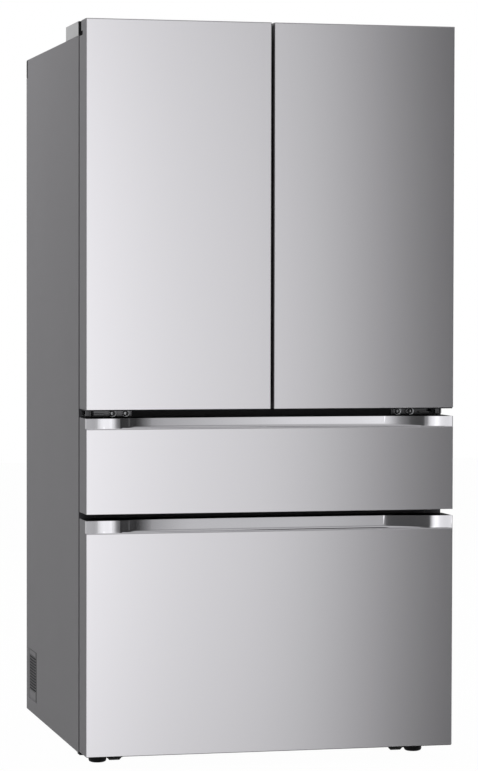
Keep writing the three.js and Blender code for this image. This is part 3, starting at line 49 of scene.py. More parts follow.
BODY_OF = {
    node: body
    for body, members in frame["record"]["behaviour"]["bodies"].items()
    for node in members
}

MM = 0.001
CLOSE = 0.00001
FLAT_DEGREES = 0.6
SIDES = (("left", -1), ("right", 1))


# ---------------------------------------------------------------- selection and edit mode
def deselect():
    for piece in bpy.context.selected_objects:
        piece.select_set(False)


def only(piece):
    deselect()
    piece.select_set(True)
    bpy.context.view_layer.objects.active = piece


def start_editing(piece, kind="FACE"):
    only(piece)
    bpy.ops.object.mode_set(mode="EDIT")
    bpy.ops.mesh.select_mode(type=kind)
    bpy.ops.mesh.select_all(action="DESELECT")
    bpy.ops.object.mode_set(mode="OBJECT")


def edit(operator, **settings):
    """Runs one edit-mode operator on what is selected in the active piece's mesh."""
    bpy.ops.object.mode_set(mode="EDIT")
    operator(**settings)
    bpy.ops.object.mode_set(mode="OBJECT")


def choose_edges(piece, wanted):
    """Selects the edges whose two ends satisfy wanted, and nothing else."""
    start_editing(piece, "EDGE")
    mesh = piece.data
    for edge in mesh.edges:
        a, b = (mesh.vertices[i].co for i in edge.vertices)
        edge.select = wanted(a, b)


def choose_faces(piece, wanted):
    """Selects the faces whose centre and normal satisfy wanted, and nothing else."""
    start_editing(piece, "FACE")
    for face in piece.data.polygons:
        face.select = wanted(face.center, face.normal)


# ---------------------------------------------------------------- making pieces
def block(name, low, high):
    """A box between two corners in millimetres, to be shaped further."""
    low, high = Vector(low) * MM, Vector(high) * MM
    deselect()
    bpy.ops.mesh.primitive_cube_add(size=1, location=(low + high) / 2, scale=high - low)
    return named(name)


def side_block(name, side, low, high):
    """A block given for the right side, and mirrored for the left."""
    near, far = sorted((side * low[0], side * high[0]))
    return block(name, (near, *low[1:]), (far, *high[1:]))


def drum(name, radius, low, high, turn=(0, 0, 0), sides=32):
    """A round bar from low to high in millimetres, turned from upright."""
    low, high = Vector(low) * MM, Vector(high) * MM
    deselect()
    bpy.ops.mesh.primitive_cylinder_add(
        vertices=sides,
        radius=radius * MM,
        depth=(high - low).length,
        location=(low + high) / 2,
        rotation=turn,
    )
    return named(name)


def named(name):
    piece = bpy.context.view_layer.objects.active
    piece.name = name
    piece.data.name = name
    bpy.ops.object.transform_apply(location=True, rotation=True, scale=True)
    return piece


def add_modifier(piece, kind, **settings):
    """Puts a modifier on the piece and applies it."""
    only(piece)
    modifier = piece.modifiers.new(kind.title(), kind)
    for key, value in settings.items():
        setattr(modifier, key, value)
    bpy.ops.object.modifier_apply(modifier=modifier.name)


def round_edges(piece, width, segments=2, angle=30):
    add_modifier(
        piece,
        "BEVEL",
        width=width * MM,
        segments=segments,
        limit_method="ANGLE",
        angle_limit=math.radians(angle),
        use_clamp_overlap=True,
    )


def smooth(piece, angle=35):
    """Smooth shading on the rounded edges that leaves the flat faces flat."""
    only(piece)
    bpy.ops.object.shade_smooth_by_angle(angle=math.radians(angle))
    add_modifier(piece, "WEIGHTED_NORMAL", mode="FACE_AREA", weight=100, keep_sharp=True)


def fit_out(piece, body, slot):
    """Gives a piece its finish and the body it moves with."""
    piece.data.materials.clear()
    piece.data.materials.append(MATERIALS[slot])
    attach(piece, body)


def finish_piece(piece, width, body, slot, segments=2):
    """The last steps of most pieces: rounded edges, smooth shading, finish and body."""
    round_edges(piece, width, segments)
    smooth(piece)
    fit_out(piece, body, slot)


def merged_copy(node, name):
    """A copy of a CAD node's mesh as whole faces, in place."""
    mesh = frame["nodes"][node].data.copy()
    piece = bpy.data.objects.new(name, mesh)
    mesh.name = name
    bpy.context.collection.objects.link(piece)
    only(piece)
    bpy.ops.object.mode_set(mode="EDIT")
    bpy.ops.mesh.select_mode(type="VERT")
    bpy.ops.mesh.select_all(action="SELECT")
    bpy.ops.mesh.remove_doubles(threshold=CLOSE)
    bpy.ops.mesh.dissolve_limited(angle_limit=math.radians(FLAT_DEGREES))
    bpy.ops.object.mode_set(mode="OBJECT")
    return piece


def dress(node, shape=None):
    """Stands a softened copy in for a CAD node: same form, with the small radii of the real edges."""
    slot = SLOT_OF[node]
    piece = merged_copy(node, f"{node}_dressed")
    if shape:
        shape(piece)
    round_edges(piece, *SOFTEN[slot])
    pull_in(piece)
    smooth(piece)
    fit_out(piece, BODY_OF[node], slot)
    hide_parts(node)


# ---------------------------------------------------------------- shader building
def place(tree, kind, **settings):
    node = tree.nodes.new(kind)
    for key, value in settings.items():
        setattr(node, key, value)
    return node


def wire(tree, source, target):
    tree.links.new(source, target)


def group(name, inputs, outputs):
    """An empty shader group with named sockets; inputs are (name, kind, default)."""
    tree = bpy.data.node_groups.new(name, "ShaderNodeTree")
    for label, kind, default in inputs:
        socket = tree.interface.new_socket(name=label, in_out="INPUT", socket_type=f"NodeSocket{kind}")
        if default is not None:
            socket.default_value = default
    for label, kind in outputs:
        tree.interface.new_socket(name=label, in_out="OUTPUT", socket_type=f"NodeSocket{kind}")
    return tree, place(tree, "NodeGroupInput"), place(tree, "NodeGroupOutput")


def noise(tree, vector, scale, detail=2.0, roughness=0.5):
    node = place(tree, "ShaderNodeTexNoise")
    node.inputs["Scale"].default_value = scale
    node.inputs["Detail"].default_value = detail
    node.inputs["Roughness"].default_value = roughness
    wire(tree, vector, node.inputs["Vector"])
    return node.outputs["Fac"]


def maths(tree, operation, a, b=None, c=None):
    node = place(tree, "ShaderNodeMath", operation=operation)
    for socket, value in zip(node.inputs, (a, b, c)):
        if value is None:
            continue
        if isinstance(value, (int, float)):
            socket.default_value = value
        else:
            wire(tree, value, socket)
    return node.outputs[0]


def swing(tree, centre, amount, mask):
    """centre + (mask - 0.5) * 2 * amount"""
    spread = maths(tree, "MULTIPLY_ADD", mask, 2.0, -1.0)
    return maths(tree, "MULTIPLY_ADD", spread, amount, centre)


def tint(tree, color, amount, mask):
    """The colour, lighter and darker by amount where the mask is high and low."""
    node = place(tree, "ShaderNodeVectorMath", operation="SCALE")
    wire(tree, color, node.inputs[0])
    wire(tree, swing(tree, 1.0, amount, mask), node.inputs["Scale"])
    return node.outputs[0]


def pattern_group(name, scale, color_swing, roughness, roughness_swing):
    """A pattern's group: colour and roughness in, both with the pattern and its height out."""
    inputs = [
        ("Color", "Color", (0.8, 0.8, 0.8, 1)),
        scale,
        ("Color Swing", "Float", color_swing),
        ("Roughness", "Float", roughness),
        ("Roughness Swing", "Float", roughness_swing),
    ]
    outputs = [("Color", "Color"), ("Roughness", "Float"), ("Height", "Float")]
    tree, given, result = group(name, inputs, outputs)
    where = place(tree, "ShaderNodeTexCoord").outputs["Object"]
    return tree, given.outputs, result.inputs, where


def give_pattern(tree, given, result, mask, height):
    """Swings colour and roughness with the mask and passes the height on."""
    wire(tree, tint(tree, given["Color"], given["Color Swing"], mask), result["Color"])
    wire(tree, swing(tree, given["Roughness"], given["Roughness Swing"], mask), result["Roughness"])
    wire(tree, height, result["Height"])


def brushed_grain():
    """Long fine scratches along one axis, over a faint cloudiness."""
    scale = ("Grain Stretch", "Vector", (1200, 1200, 9))
    tree, given, result, where = pattern_group("Brushed grain", scale, 0.03, 0.3, 0.05)
    stretch = place(tree, "ShaderNodeVectorMath", operation="MULTIPLY")
    wire(tree, where, stretch.inputs[0])
    wire(tree, given["Grain Stretch"], stretch.inputs[1])
    scratches = noise(tree, stretch.outputs[0], 1.0, 3.0, 0.6)
    clouds = noise(tree, where, 2.3, 2.0)
    mixed = maths(tree, "MULTIPLY_ADD", clouds, 0.3, maths(tree, "MULTIPLY", scratches, 0.7))
    give_pattern(tree, given, result, mixed, scratches)
    return tree


def fine_texture():
    """The pebbled skin of paint and moulded plastic, with a slow change of shade."""
    scale = ("Pebble Scale", "Float", 900.0)
    tree, given, result, where = pattern_group("Fine texture", scale, 0.03, 0.4, 0.05)
    pebbles = noise(tree, where, 1.0, 2.0)
    wire(tree, given["Pebble Scale"], pebbles.node.inputs["Scale"])
    clouds = noise(tree, where, 3.1, 3.0)
    mixed = maths(tree, "MULTIPLY_ADD", clouds, 0.6, maths(tree, "MULTIPLY", pebbles, 0.4))
    give_pattern(tree, given, result, mixed, pebbles)
    return tree


def zinc_spangle():
    """The flowery crystals of hot-dipped sheet."""
    scale = ("Crystal Scale", "Float", 140.0)
    tree, given, result, where = pattern_group("Zinc spangle", scale, 0.12, 0.45, 0.12)
    cells = place(tree, "ShaderNodeTexVoronoi")
    wire(tree, where, cells.inputs["Vector"])
    wire(tree, given["Crystal Scale"], cells.inputs["Scale"])
    shade = place(tree, "ShaderNodeSeparateColor")
    wire(tree, cells.outputs["Color"], shade.inputs[0])
    mask = shade.outputs[0]
    give_pattern(tree, given, result, mask, mask)
    return tree


WORN_EDGE = 0.0012


def edge_wear():
    """A rubbed look along the outer edges: mixes in the bare colour where a rounded edge runs."""
    tree, given, result = group(
        "Edge wear",
        [
            ("Color", "Color", (0.8, 0.8, 0.8, 1)),
            ("Bare Color", "Color", (0.9, 0.9, 0.9, 1)),
            ("Amount", "Float", 0.3),
        ],
        [("Color", "Color"), ("Edge", "Float")],
    )
    rounding = place(tree, "ShaderNodeBevel", samples=4)
    rounding.inputs["Radius"].default_value = WORN_EDGE
    flat = place(tree, "ShaderNodeNewGeometry")
    dot = place(tree, "ShaderNodeVectorMath", operation="DOT_PRODUCT")
    wire(tree, rounding.outputs[0], dot.inputs[0])
    wire(tree, flat.outputs["Normal"], dot.inputs[1])
    turned = maths(tree, "SUBTRACT", 1.0, dot.outputs["Value"])
    ragged = noise(tree, place(tree, "ShaderNodeTexCoord").outputs["Object"], 120.0, 3.0)
    edge = maths(tree, "MULTIPLY", maths(tree, "MULTIPLY", turned, 6.0), ragged)
    edge = maths(tree, "MINIMUM", maths(tree, "MULTIPLY", edge, given.outputs["Amount"]), 1.0)
    mix = place(tree, "ShaderNodeMix", data_type="RGBA")
    wire(tree, edge, mix.inputs["Factor"])
    wire(tree, given.outputs["Color"], mix.inputs[6])
    wire(tree, given.outputs["Bare Color"], mix.inputs[7])
    wire(tree, mix.outputs[2], result.inputs["Color"])
    wire(tree, edge, result.inputs["Edge"])
    return tree


BUMP_HEIGHT = 0.0002
GRAIN = brushed_grain()
TEXTURE = fine_texture()
SPANGLE = zinc_spangle()
WEAR = edge_wear()


def finish(
    name, pattern, color, roughness, bump=0.0, bare=None, wear=0.0, pattern_values=None, **shader_values
):
    """A material: one pattern group, perhaps edge wear, a bump and the shader's own constants."""
    material = bpy.data.materials.new(name)
    material.use_nodes = True
    tree = material.node_tree
    shader = tree.nodes["Principled BSDF"]
    look = place(tree, "ShaderNodeGroup", node_tree=pattern)
    look.inputs["Color"].default_value = (*color, 1)
    look.inputs["Roughness"].default_value = roughness
    for key, value in (pattern_values or {}).items():
        look.inputs[key].default_value = value
    base = look.outputs["Color"]
    if bare:
        edges = place(tree, "ShaderNodeGroup", node_tree=WEAR)
        wire(tree, base, edges.inputs["Color"])
        edges.inputs["Bare Color"].default_value = (*bare, 1)
        edges.inputs["Amount"].default_value = wear
        base = edges.outputs["Color"]
    wire(tree, base, shader.inputs["Base Color"])
    wire(tree, look.outputs["Roughness"], shader.inputs["Roughness"])
    if bump:
        relief = place(tree, "ShaderNodeBump")
        relief.inputs["Strength"].default_value = bump
        relief.inputs["Distance"].default_value = BUMP_HEIGHT
        wire(tree, look.outputs["Height"], relief.inputs["Height"])
        wire(tree, relief.outputs["Normal"], shader.inputs["Normal"])
    for key, value in shader_values.items():
        shader.inputs[key.replace("_", " ")].default_value = value
    return material


def make_materials():
    return {
        "stainless": finish(
            "brushed stainless", GRAIN, (0.84, 0.828, 0.862), 0.125, bump=0.01,
            pattern_values={"Color Swing": 0.015, "Roughness Swing": 0.015}, Metallic=1.0,
        ),
        "bright_band": finish(
            "polished trim", GRAIN, (0.88, 0.872, 0.91), 0.07,
            pattern_values={"Grain Stretch": (9, 900, 900), "Color Swing": 0.01, "Roughness Swing": 0.01},
            Metallic=1.0,
        ),
        "case_paint": finish(
            "grey case paint", TEXTURE, (0.1375, 0.1345, 0.142), 0.5, bump=0.12,
            bare=(0.3, 0.3, 0.31), wear=0.25, pattern_values={"Pebble Scale": 700.0},
        ),
        "rail_paint": finish(
            "black rail paint", TEXTURE, (0.048, 0.046, 0.052), 0.5, bump=0.1,
            bare=(0.12, 0.12, 0.13), wear=0.2,
        ),
        "galvanised": finish(
            "galvanised sheet", SPANGLE, (0.5, 0.515, 0.53), 0.42, bump=0.05, Metallic=0.9,
        ),
        "insulation": finish("cut foam", TEXTURE, (0.75, 0.66, 0.36), 0.9, bump=0.5),
        "white_plastic": finish(
            "white liner plastic", TEXTURE, (0.8, 0.81, 0.82), 0.32, bump=0.03,
            pattern_values={"Color Swing": 0.015},
        ),
        "black_plastic": finish(
            "black moulded plastic", TEXTURE, (0.009, 0.009, 0.01), 0.55, bump=0.25,
            bare=(0.05, 0.05, 0.053), wear=0.3, Specular_IOR_Level=0.18,
        ),
        "compressor_paint": finish(
            "black compressor enamel", TEXTURE, (0.015, 0.015, 0.017), 0.28, bump=0.1,
            bare=(0.15, 0.15, 0.16), wear=0.3,
        ),
        "fin_metal": finish(
            "aluminium fins", GRAIN, (0.66, 0.67, 0.69), 0.28,
            pattern_values={"Grain Stretch": (900, 900, 12)}, Metallic=1.0,
        ),
        "glass": finish(
            "shelf glass", TEXTURE, (0.9, 0.97, 0.95), 0.03,
            pattern_values={"Color Swing": 0.004, "Roughness Swing": 0.005},
            Transmission_Weight=0.95, IOR=1.5,
        ),
        "hinge_steel": finish(
            "zinc-plated hinge steel", GRAIN, (0.13, 0.13, 0.135), 0.2, bump=0.02,
            pattern_values={"Grain Stretch": (60, 900, 900)}, Metallic=1.0,
        ),
        "grey_plastic": finish(
            "grey moulded plastic", TEXTURE, (0.37, 0.37, 0.375), 0.48, bump=0.25,
            bare=(0.55, 0.55, 0.56), wear=0.2,
        ),
        "seal_rubber": finish("grey gasket", TEXTURE, (0.11, 0.11, 0.115), 0.6, bump=0.1),
        "clear_plastic": finish(
            "clear bin plastic", TEXTURE, (0.9, 0.94, 0.96), 0.08,
            pattern_values={"Color Swing": 0.004, "Roughness Swing": 0.01},
            Transmission_Weight=0.9, IOR=1.49,
        ),
    }


MATERIALS = make_materials()


# ---------------------------------------------------------------- handle bands
FRONT_Y = -438.0
HALF_WIDTH = 454.0
SKIN_WALL = 1.3
# Heights of the steel faces' upper edges, and of the bands' own.
MIDDLE_LIP, MIDDLE_TOP = 815.0, 839.0
FREEZER_LIP, FREEZER_TOP = 567.0, 596.5
LIP_RADIUS = 3.2
DOOR_TOP_RADIUS = 2.2
BAND_WALL = 2.5
BAND_CLEAR = 0.3
BAND_RETURN = 14.0
BAND_CORNER = 1.5
BAND_STEP = 2.0
BAND_LEFT_BEND, BAND_RIGHT_BEND = -290.0, 268.0
BAND_PLAIN_STEP = 20
BAND_CREASE = 288.0
FLARE_HALF = 410.0
SCOOP = 28.0
POCKET = 34.0
POCKET_HALF = 320.0
LEDGE_HALF = 430.0
LIP_LEDGE = 0.6
BEAD_RADIUS = 2.0
BEAD_LEFT, BEAD_RIGHT = -366.0, 372.0
# Plan of a band seen from above: how many degrees its face leans into the scoop at each x.
BAND_LEFT_TURN = (
    (-454, 2.7), (-434, 2.7), (-426, 2.5), (-420, 0.3), (-412, 0), (-400, 0), (-392, -0.3), (-386, 2.1),
    (-380, 2.8), (-371, 3.2), (-366, 17.8), (-360, 28), (-346, 31.4), (-338, 20), (-330, 4.2),
    (-322, 3.4), (-314, 2.95), (-304, 2.65), (-294, 2.4), (-270, 2.1),
)
BAND_RIGHT_TIP = ((423, -3.1), (434, -2.6), (442, -2.6), (448, -3), (454, -2.2))
MIDDLE_SLOPES = BAND_LEFT_TURN + (
    (-200, 1.7), (-100, 1.1), (-20, 0.6), (70, -0.1), (170, -0.6), (250, -2.1), (278, -2.3), (287.9, -2.2),
    (288.1, -8.5), (302, -9), (312, -9.4), (322, -9.8), (331, -10.1), (346, -10.5), (360, -12), (370, -14),
    (378, -12.5), (384, -10.2), (390, -10.2), (394, -9.3), (398, -8.9), (408, -7.9), (415, -4),
) + BAND_RIGHT_TIP
FREEZER_SLOPES = BAND_LEFT_TURN + (
    (-200, 1.55), (-100, 1.15), (-20, 0.85), (70, 0.5), (170, 0.2), (250, 0), (278, -0.1), (287.9, -0.1),
    (288.1, -9.6), (302, -11.3), (312, -12), (322, -12.4), (331, -12.8), (346, -13.3), (360, -14.6),
    (370, -15.9), (378, -14.7), (384, -13), (390, -12.7), (394, -11.8), (398, -10.2), (403, -9.2),
    (408, -7.6), (415, -4),
) + BAND_RIGHT_TIP
# Height over the lip and how far the scoop's wall has come forward there, at the full depth.
BAND_FLARE = ((0.0, 2.6), (1.5, 1.5), (3.0, 0.75), (5.0, 0.25), (8.0, 0.0))


def band_slope(x, slopes):
    for (x0, lean0), (x1, lean1) in zip(slopes, slopes[1:]):
        if x0 <= x <= x1:
            return lean0 + (lean1 - lean0) * (x - x0) / (x1 - x0)
    return 0.0


def band_plan(slopes):
    """Points of a band's front face from the left side to the right, with the returns at the ends."""
    x, depth, line = -HALF_WIDTH, 0.0, []
    while x <= HALF_WIDTH:
        line.append((x, depth))
        depth += BAND_STEP * math.tan(math.radians(band_slope(x + BAND_STEP / 2, slopes)))
        x += BAND_STEP
    keep = [(x, depth) for x, depth in line if worth_a_station(x)]
    corner = [
        (-HALF_WIDTH + BAND_CORNER * (1 - math.cos(a)), BAND_CORNER * (1 - math.sin(a)))
        for a in (math.radians(15 * i) for i in range(6))
    ]
    left = [(-HALF_WIDTH, BAND_RETURN)] + corner
    right = [(-x, y) for x, y in reversed(left)]
    return [(x, FRONT_Y + y) for x, y in left + keep + right]


def worth_a_station(x):
    """Stations stand close together where the scoop turns and far apart elsewhere."""
    if abs(x) > HALF_WIDTH - BAND_CORNER:
        return False
    return x > BAND_RIGHT_BEND or x < BAND_LEFT_BEND or x % BAND_PLAIN_STEP < 1


def drawn_strip(name, points, low, high):
    """A sheet standing between two heights, extruded point by point along a plan."""
    (x0, y0), (_, y1) = points[:2]
    deselect()
    bpy.ops.mesh.primitive_plane_add(
        size=1,
        location=(x0 * MM, (y0 + y1) / 2 * MM, (low + high) / 2 * MM),
        rotation=(0, math.radians(90), 0),
    )
    strip = bpy.context.view_layer.objects.active
    strip.scale = ((high - low) * MM, (y0 - y1) * MM, 1)
    piece = named(name)
    choose_edges(piece, lambda a, b: max(abs(a.y - y1 * MM), abs(b.y - y1 * MM)) < 1e-6)
    bpy.ops.object.mode_set(mode="EDIT")
    for (xa, ya), (xb, yb) in zip(points[1:], points[2:]):
        step = ((xb - xa) * MM, (yb - ya) * MM, 0)
        bpy.ops.mesh.extrude_region_move(TRANSFORM_OT_translate={"value": step})
    bpy.ops.object.mode_set(mode="OBJECT")
    return piece


def flare_wall(piece, bottom):
    """Cuts rows across the strip and brings the lower ones forward, in step with the scoop's depth."""
    for height, _ in BAND_FLARE[1:]:
        choose_faces(piece, lambda centre, normal: True)
        cut_at = (0, 0, (bottom + height) * MM)
        edit(bpy.ops.mesh.bisect, plane_co=cut_at, plane_no=(0, 0, 1))
    for height, forward in BAND_FLARE:
        z = (bottom + height) * MM
        start_editing(piece, "VERT")
        for point in piece.data.vertices:
            point.select = abs(point.co.z - z) < CLOSE and abs(point.co.x) < FLARE_HALF * MM
        closer = (1, 1 - forward / SCOOP, 1)
        edit(bpy.ops.transform.resize, value=closer, center_override=(0, FRONT_Y * MM, 0))


def lower_edge(piece, z, wanted):
    """Selects the edges at height z whose two ends satisfy wanted."""

    def chosen(point):
        return abs(point.z - z) < CLOSE and wanted(point)

    choose_edges(piece, lambda a, b: chosen(a) and chosen(b))


def to_plane(y):
    """Flattens what was just extruded onto one plane across the drawer's face."""
    bpy.ops.mesh.extrude_region_move(TRANSFORM_OT_translate={"value": (0, 0, 0)})
    bpy.ops.transform.resize(value=(1, 0, 1), center_override=(0, y, 0))


def fold_pocket(piece, bottom, lip):
    """Folds the strip's lower edge into a ledge at the ends and into the finger pocket between them."""
    z = bottom * MM
    front = (FRONT_Y + SKIN_WALL + BAND_WALL) * MM
    half = POCKET_HALF * MM
    ledge_half = LEDGE_HALF * MM
    floor = lip - POCKET + BAND_WALL
    lower_edge(piece, z, lambda p: half - 1e-6 <= abs(p.x) < ledge_half and p.y > front + 1e-4)
    bpy.ops.object.mode_set(mode="EDIT")
    to_plane(front)
    bpy.ops.object.mode_set(mode="OBJECT")
    lower_edge(piece, z, lambda p: abs(p.x) <= half + 1e-6 and p.y > front + 1e-4)
    bpy.ops.object.mode_set(mode="EDIT")
    bpy.ops.mesh.extrude_region_move(TRANSFORM_OT_translate={"value": (0, 0, (floor - bottom) * MM)})
    to_plane(front)
    bpy.ops.mesh.extrude_region_move(TRANSFORM_OT_translate={"value": (0, 0, (bottom - floor) * MM)})
    bpy.ops.object.mode_set(mode="OBJECT")
    for side in (-1, 1):
        start_editing(piece, "VERT")
        for point in piece.data.vertices:
            co = point.co
            point.select = abs(co.x - side * half) < CLOSE and co.z < z + CLOSE
        edit(bpy.ops.mesh.edge_face_add)


def face_forward(piece):
    """Turns the sheet's faces so that the strip looks to the front."""
    choose_faces(piece, lambda centre, normal: True)
    edit(bpy.ops.mesh.normals_make_consistent, inside=False)
    front = max(piece.data.polygons, key=lambda face: face.center.z + face.area)
    if front.normal.y > 0:
        choose_faces(piece, lambda centre, normal: True)
        edit(bpy.ops.mesh.flip_normals)


def mark_crease(piece):
    """The band's face turns sharply along one upright line, and its shading breaks there."""
    x = BAND_CREASE * MM

    def on_line(a, b):
        return max(abs(a.x - x), abs(b.x - x)) < 1e-4 < abs(a.z - b.z)

    choose_edges(piece, on_line)
    edit(bpy.ops.mesh.mark_sharp)


def handle_band(node, lip, top, slopes):
    """Polished strip drawn along the scoop, with the finger pocket folded out of its lower edge."""
    bottom = lip - LIP_LEDGE
    piece = drawn_strip(f"{node}_formed", band_plan(slopes), bottom, top)
    flare_wall(piece, bottom)
    fold_pocket(piece, bottom, lip)
    start_editing(piece, "VERT")
    bpy.ops.object.mode_set(mode="EDIT")
    bpy.ops.mesh.select_all(action="SELECT")
    bpy.ops.mesh.remove_doubles(threshold=1e-6)
    bpy.ops.object.mode_set(mode="OBJECT")
    face_forward(piece)
    add_modifier(piece, "SOLIDIFY", thickness=BAND_WALL * MM, offset=-1, use_even_offset=False)
    round_edges(piece, 0.4, 2, angle=50)
    pull_in(piece)
    mark_crease(piece)
    smooth(piece, 25)
    fit_out(piece, BODY_OF[node], "bright_band")
    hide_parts(node)


def room_for_band(lip, top, slopes):
    """Gives back the cut that lets a drawer's foamed body clear its scooped band."""
    clear = BAND_WALL + BAND_CLEAR

    def cut(body):
        low, high = lip - SKIN_WALL, top + 5.0
        plan = [(x, y + clear) for x, y in band_plan(slopes) if abs(x) < HALF_WIDTH - 3]
        start_x = -HALF_WIDTH - 2
        outline = [(start_x, plan[0][1] + 0.01), (start_x, plan[0][1])] + plan
        outline.append((-start_x, plan[-1][1]))
        cutter = drawn_strip("band_cutter", outline, low, high)
        choose_faces(cutter, lambda centre, normal: True)
        bpy.ops.object.mode_set(mode="EDIT")
        bpy.ops.mesh.extrude_region_move(TRANSFORM_OT_translate={"value": (0, 0, 0)})
        bpy.ops.transform.resize(value=(1, 0, 1), center_override=(0, (FRONT_Y - 6) * MM, 0))
        bpy.ops.mesh.select_all(action="SELECT")
        bpy.ops.mesh.normals_make_consistent(inside=False)
        bpy.ops.object.mode_set(mode="OBJECT")
        add_modifier(body, "BOOLEAN", operation="DIFFERENCE", object=cutter, solver="EXACT")
        bpy.data.objects.remove(cutter)

    return cut


def roll_edge(skin, z, radius, segments):
    """Rolls the steel over along its front edge at height z."""

    def on_edge(point):
        return abs(point.y - FRONT_Y * MM) < 2e-4 and abs(point.z - z) < 1e-4

    choose_edges(skin, lambda a, b: on_edge(a) and on_edge(b) and abs(a.x - b.x) > 1e-4)
    edit(bpy.ops.mesh.bevel, offset=radius * MM, segments=segments)


def round_lip(lip):
    """Rolls a drawer's steel over, in front of its band and under the band's ends."""
    return lambda skin: roll_edge(skin, lip * MM, LIP_RADIUS, 4)


def round_top(skin):
    """Rolls a door's steel over at its top edge."""
    top = max(point.co.z for point in skin.data.vertices)
    roll_edge(skin, top, DOOR_TOP_RADIUS, 3)


def pull_in(piece):
    """Brings back what a bevel pushed past the refrigerator's sides or front."""
    for side in (-1, 1):
        start_editing(piece, "VERT")
        for point in piece.data.vertices:
            point.select = side * point.co.x > HALF_WIDTH * MM
        edge = (side * HALF_WIDTH * MM, 0, 0)
        edit(bpy.ops.transform.resize, value=(0, 1, 1), center_override=edge)
    start_editing(piece, "VERT")
    for point in piece.data.vertices:
        point.select = point.co.y < FRONT_Y * MM
    edit(bpy.ops.transform.resize, value=(1, 0, 1), center_override=(0, FRONT_Y * MM, 0))


def widen_cover(cover):
    """Brings a hinge cover's outer side out flush with the case's side."""
    for side in (-1, 1):
        start_editing(cover, "VERT")
        for point in cover.data.vertices:
            point.select = side * point.co.x > COVER_SIDE
        flush = (side * COVER_FLUSH, 0, 0)
        edit(bpy.ops.transform.resize, value=(0, 1, 1), center_override=flush)


def lip_bead(name, body, lip):
    """Rolled bead along the steel face's upper edge, in front of the pocket."""
    y = FRONT_Y + BEAD_RADIUS
    along = (0, math.radians(90), 0)
    piece = drum(name, BEAD_RADIUS, (BEAD_LEFT, y, lip), (BEAD_RIGHT, y, lip), along, 16)
    finish_piece(piece, 1.6, body, "bright_band", 3)


# ---------------------------------------------------------------- dressing the frame
# Width in millimetres and steps of the rounding on each material's edges.
SOFTEN = {
    "stainless": (0.45, 2),
    "case_paint": (0.3, 2),
    "rail_paint": (0.4, 2),
    "galvanised": (0.25, 1),
    "insulation": (1.0, 1),
    "white_plastic": (0.7, 2),
    "black_plastic": (0.8, 2),
    "compressor_paint": (1.0, 2),
    "fin_metal": (0.2, 1),
    "glass": (0.8, 2),
    "hinge_steel": (0.5, 2),
    "grey_plastic": (1.6, 3),
    "seal_rubber": (1.2, 2),
    "clear_plastic": (0.6, 2),
}


# In metres: a hinge cover's outer side, in the solids and here; the backs of doors and drawers, and
# the rim outside their seals; the back sheet's outer face, and the heights that split its fields.
COVER_SIDE, COVER_FLUSH = 0.4474, 0.4539
DOOR_BACK = -0.349
RIM = 0.02
BACK_SHEET = 0.4375
FIELD_SPLITS = (0.74, 1.22)


def split_rim(body):
    """Marks off the strip of a door's or drawer's back that lies outside its seal."""
    xs = [point.co.x for point in body.data.vertices]
    zs = [point.co.z for point in body.data.vertices]
    for cut_at, across in (
        ((min(xs) + RIM, 0, 0), (1, 0, 0)),
        ((max(xs) - RIM, 0, 0), (1, 0, 0)),
        ((0, 0, min(zs) + RIM), (0, 0, 1)),
        ((0, 0, max(zs) - RIM), (0, 0, 1)),
    ):
        choose_faces(body, lambda centre, normal: centre.y > DOOR_BACK - 0.0005)
        edit(bpy.ops.mesh.bisect, plane_co=cut_at, plane_no=across)


def press_fields(sheet):
    """Three shallow pressed fields stiffen the back sheet."""

    def outside(centre, normal):
        return normal.y > 0.9 and centre.y > BACK_SHEET

    for height in FIELD_SPLITS:
        choose_faces(sheet, outside)
        edit(bpy.ops.mesh.bisect, plane_co=(0, 0, height), plane_no=(0, 0, 1))
    choose_faces(sheet, outside)
    edit(bpy.ops.mesh.inset, thickness=28 * MM, depth=0, use_individual=True)
    edit(bpy.ops.mesh.inset, thickness=7 * MM, depth=-0.8 * MM, use_individual=True)


def in_turn(*steps):
    """One shaping step out of several."""

    def shape(piece):
        for step in steps:
            step(piece)

    return shape


def dress_frame():
    """Dresses every node but the bands, which handle_band forms anew."""
    shaped = {
        "middle_drawer_body": in_turn(room_for_band(MIDDLE_LIP, MIDDLE_TOP, MIDDLE_SLOPES), split_rim),
        "freezer_drawer_body": in_turn(room_for_band(FREEZER_LIP, FREEZER_TOP, FREEZER_SLOPES), split_rim),
        "middle_drawer_skin": round_lip(MIDDLE_LIP),
        "freezer_drawer_skin": round_lip(FREEZER_LIP),
        "door_left_skin": round_top,
        "door_right_skin": round_top,
        "door_left_body": split_rim,
        "door_right_body": split_rim,
        "hinge_cover_left": widen_cover,
        "hinge_cover_right": widen_cover,
        "back_panel": press_fields,
    }
    for node in frame["nodes"]:
        if SLOT_OF[node] != "bright_band":
            dress(node, shaped.get(node))


def paint(node, slot, wanted):
    """Gives those faces of a dressed node that wanted picks another finish."""
    piece = bpy.data.objects[f"{node}_dressed"]
    piece.data.materials.append(MATERIALS[slot])
    index = len(piece.data.materials) - 1
    for face in piece.data.polygons:
        if wanted(face.center, face.normal):
            face.material_index = index


# In metres: where the end caps, the ledges behind the bands and the painted shade in the hinges' corners
# end.
CAP_REACH = 0.032
LEDGE_FRONT, LEDGE_REACH = -0.40, 0.05
HINGE_SHADE_FROM_X, HINGE_SHADE_FROM_Z = 0.38, 1.70
# The case's flanges, painted dark as shade of the gaps at the seals, lie in front of this; the vents'
# slots, whose edges are painted dark as shade, lie in this field of y and z.
SHADED_FLANGE_BACK = -0.33
SLOTS_Y, SLOTS_Z = (0.300, 0.402), (0.085, 0.185)
# The drawers' slides: members on the bins outside BIN_SLIDE, and channels on the liners.
BIN_SLIDE = 0.3805
CHANNEL_X, CHANNEL_HEIGHT = (0.3905, 0.4018), 0.036


def within(value, limits):
    return limits[0] < value < limits[1]


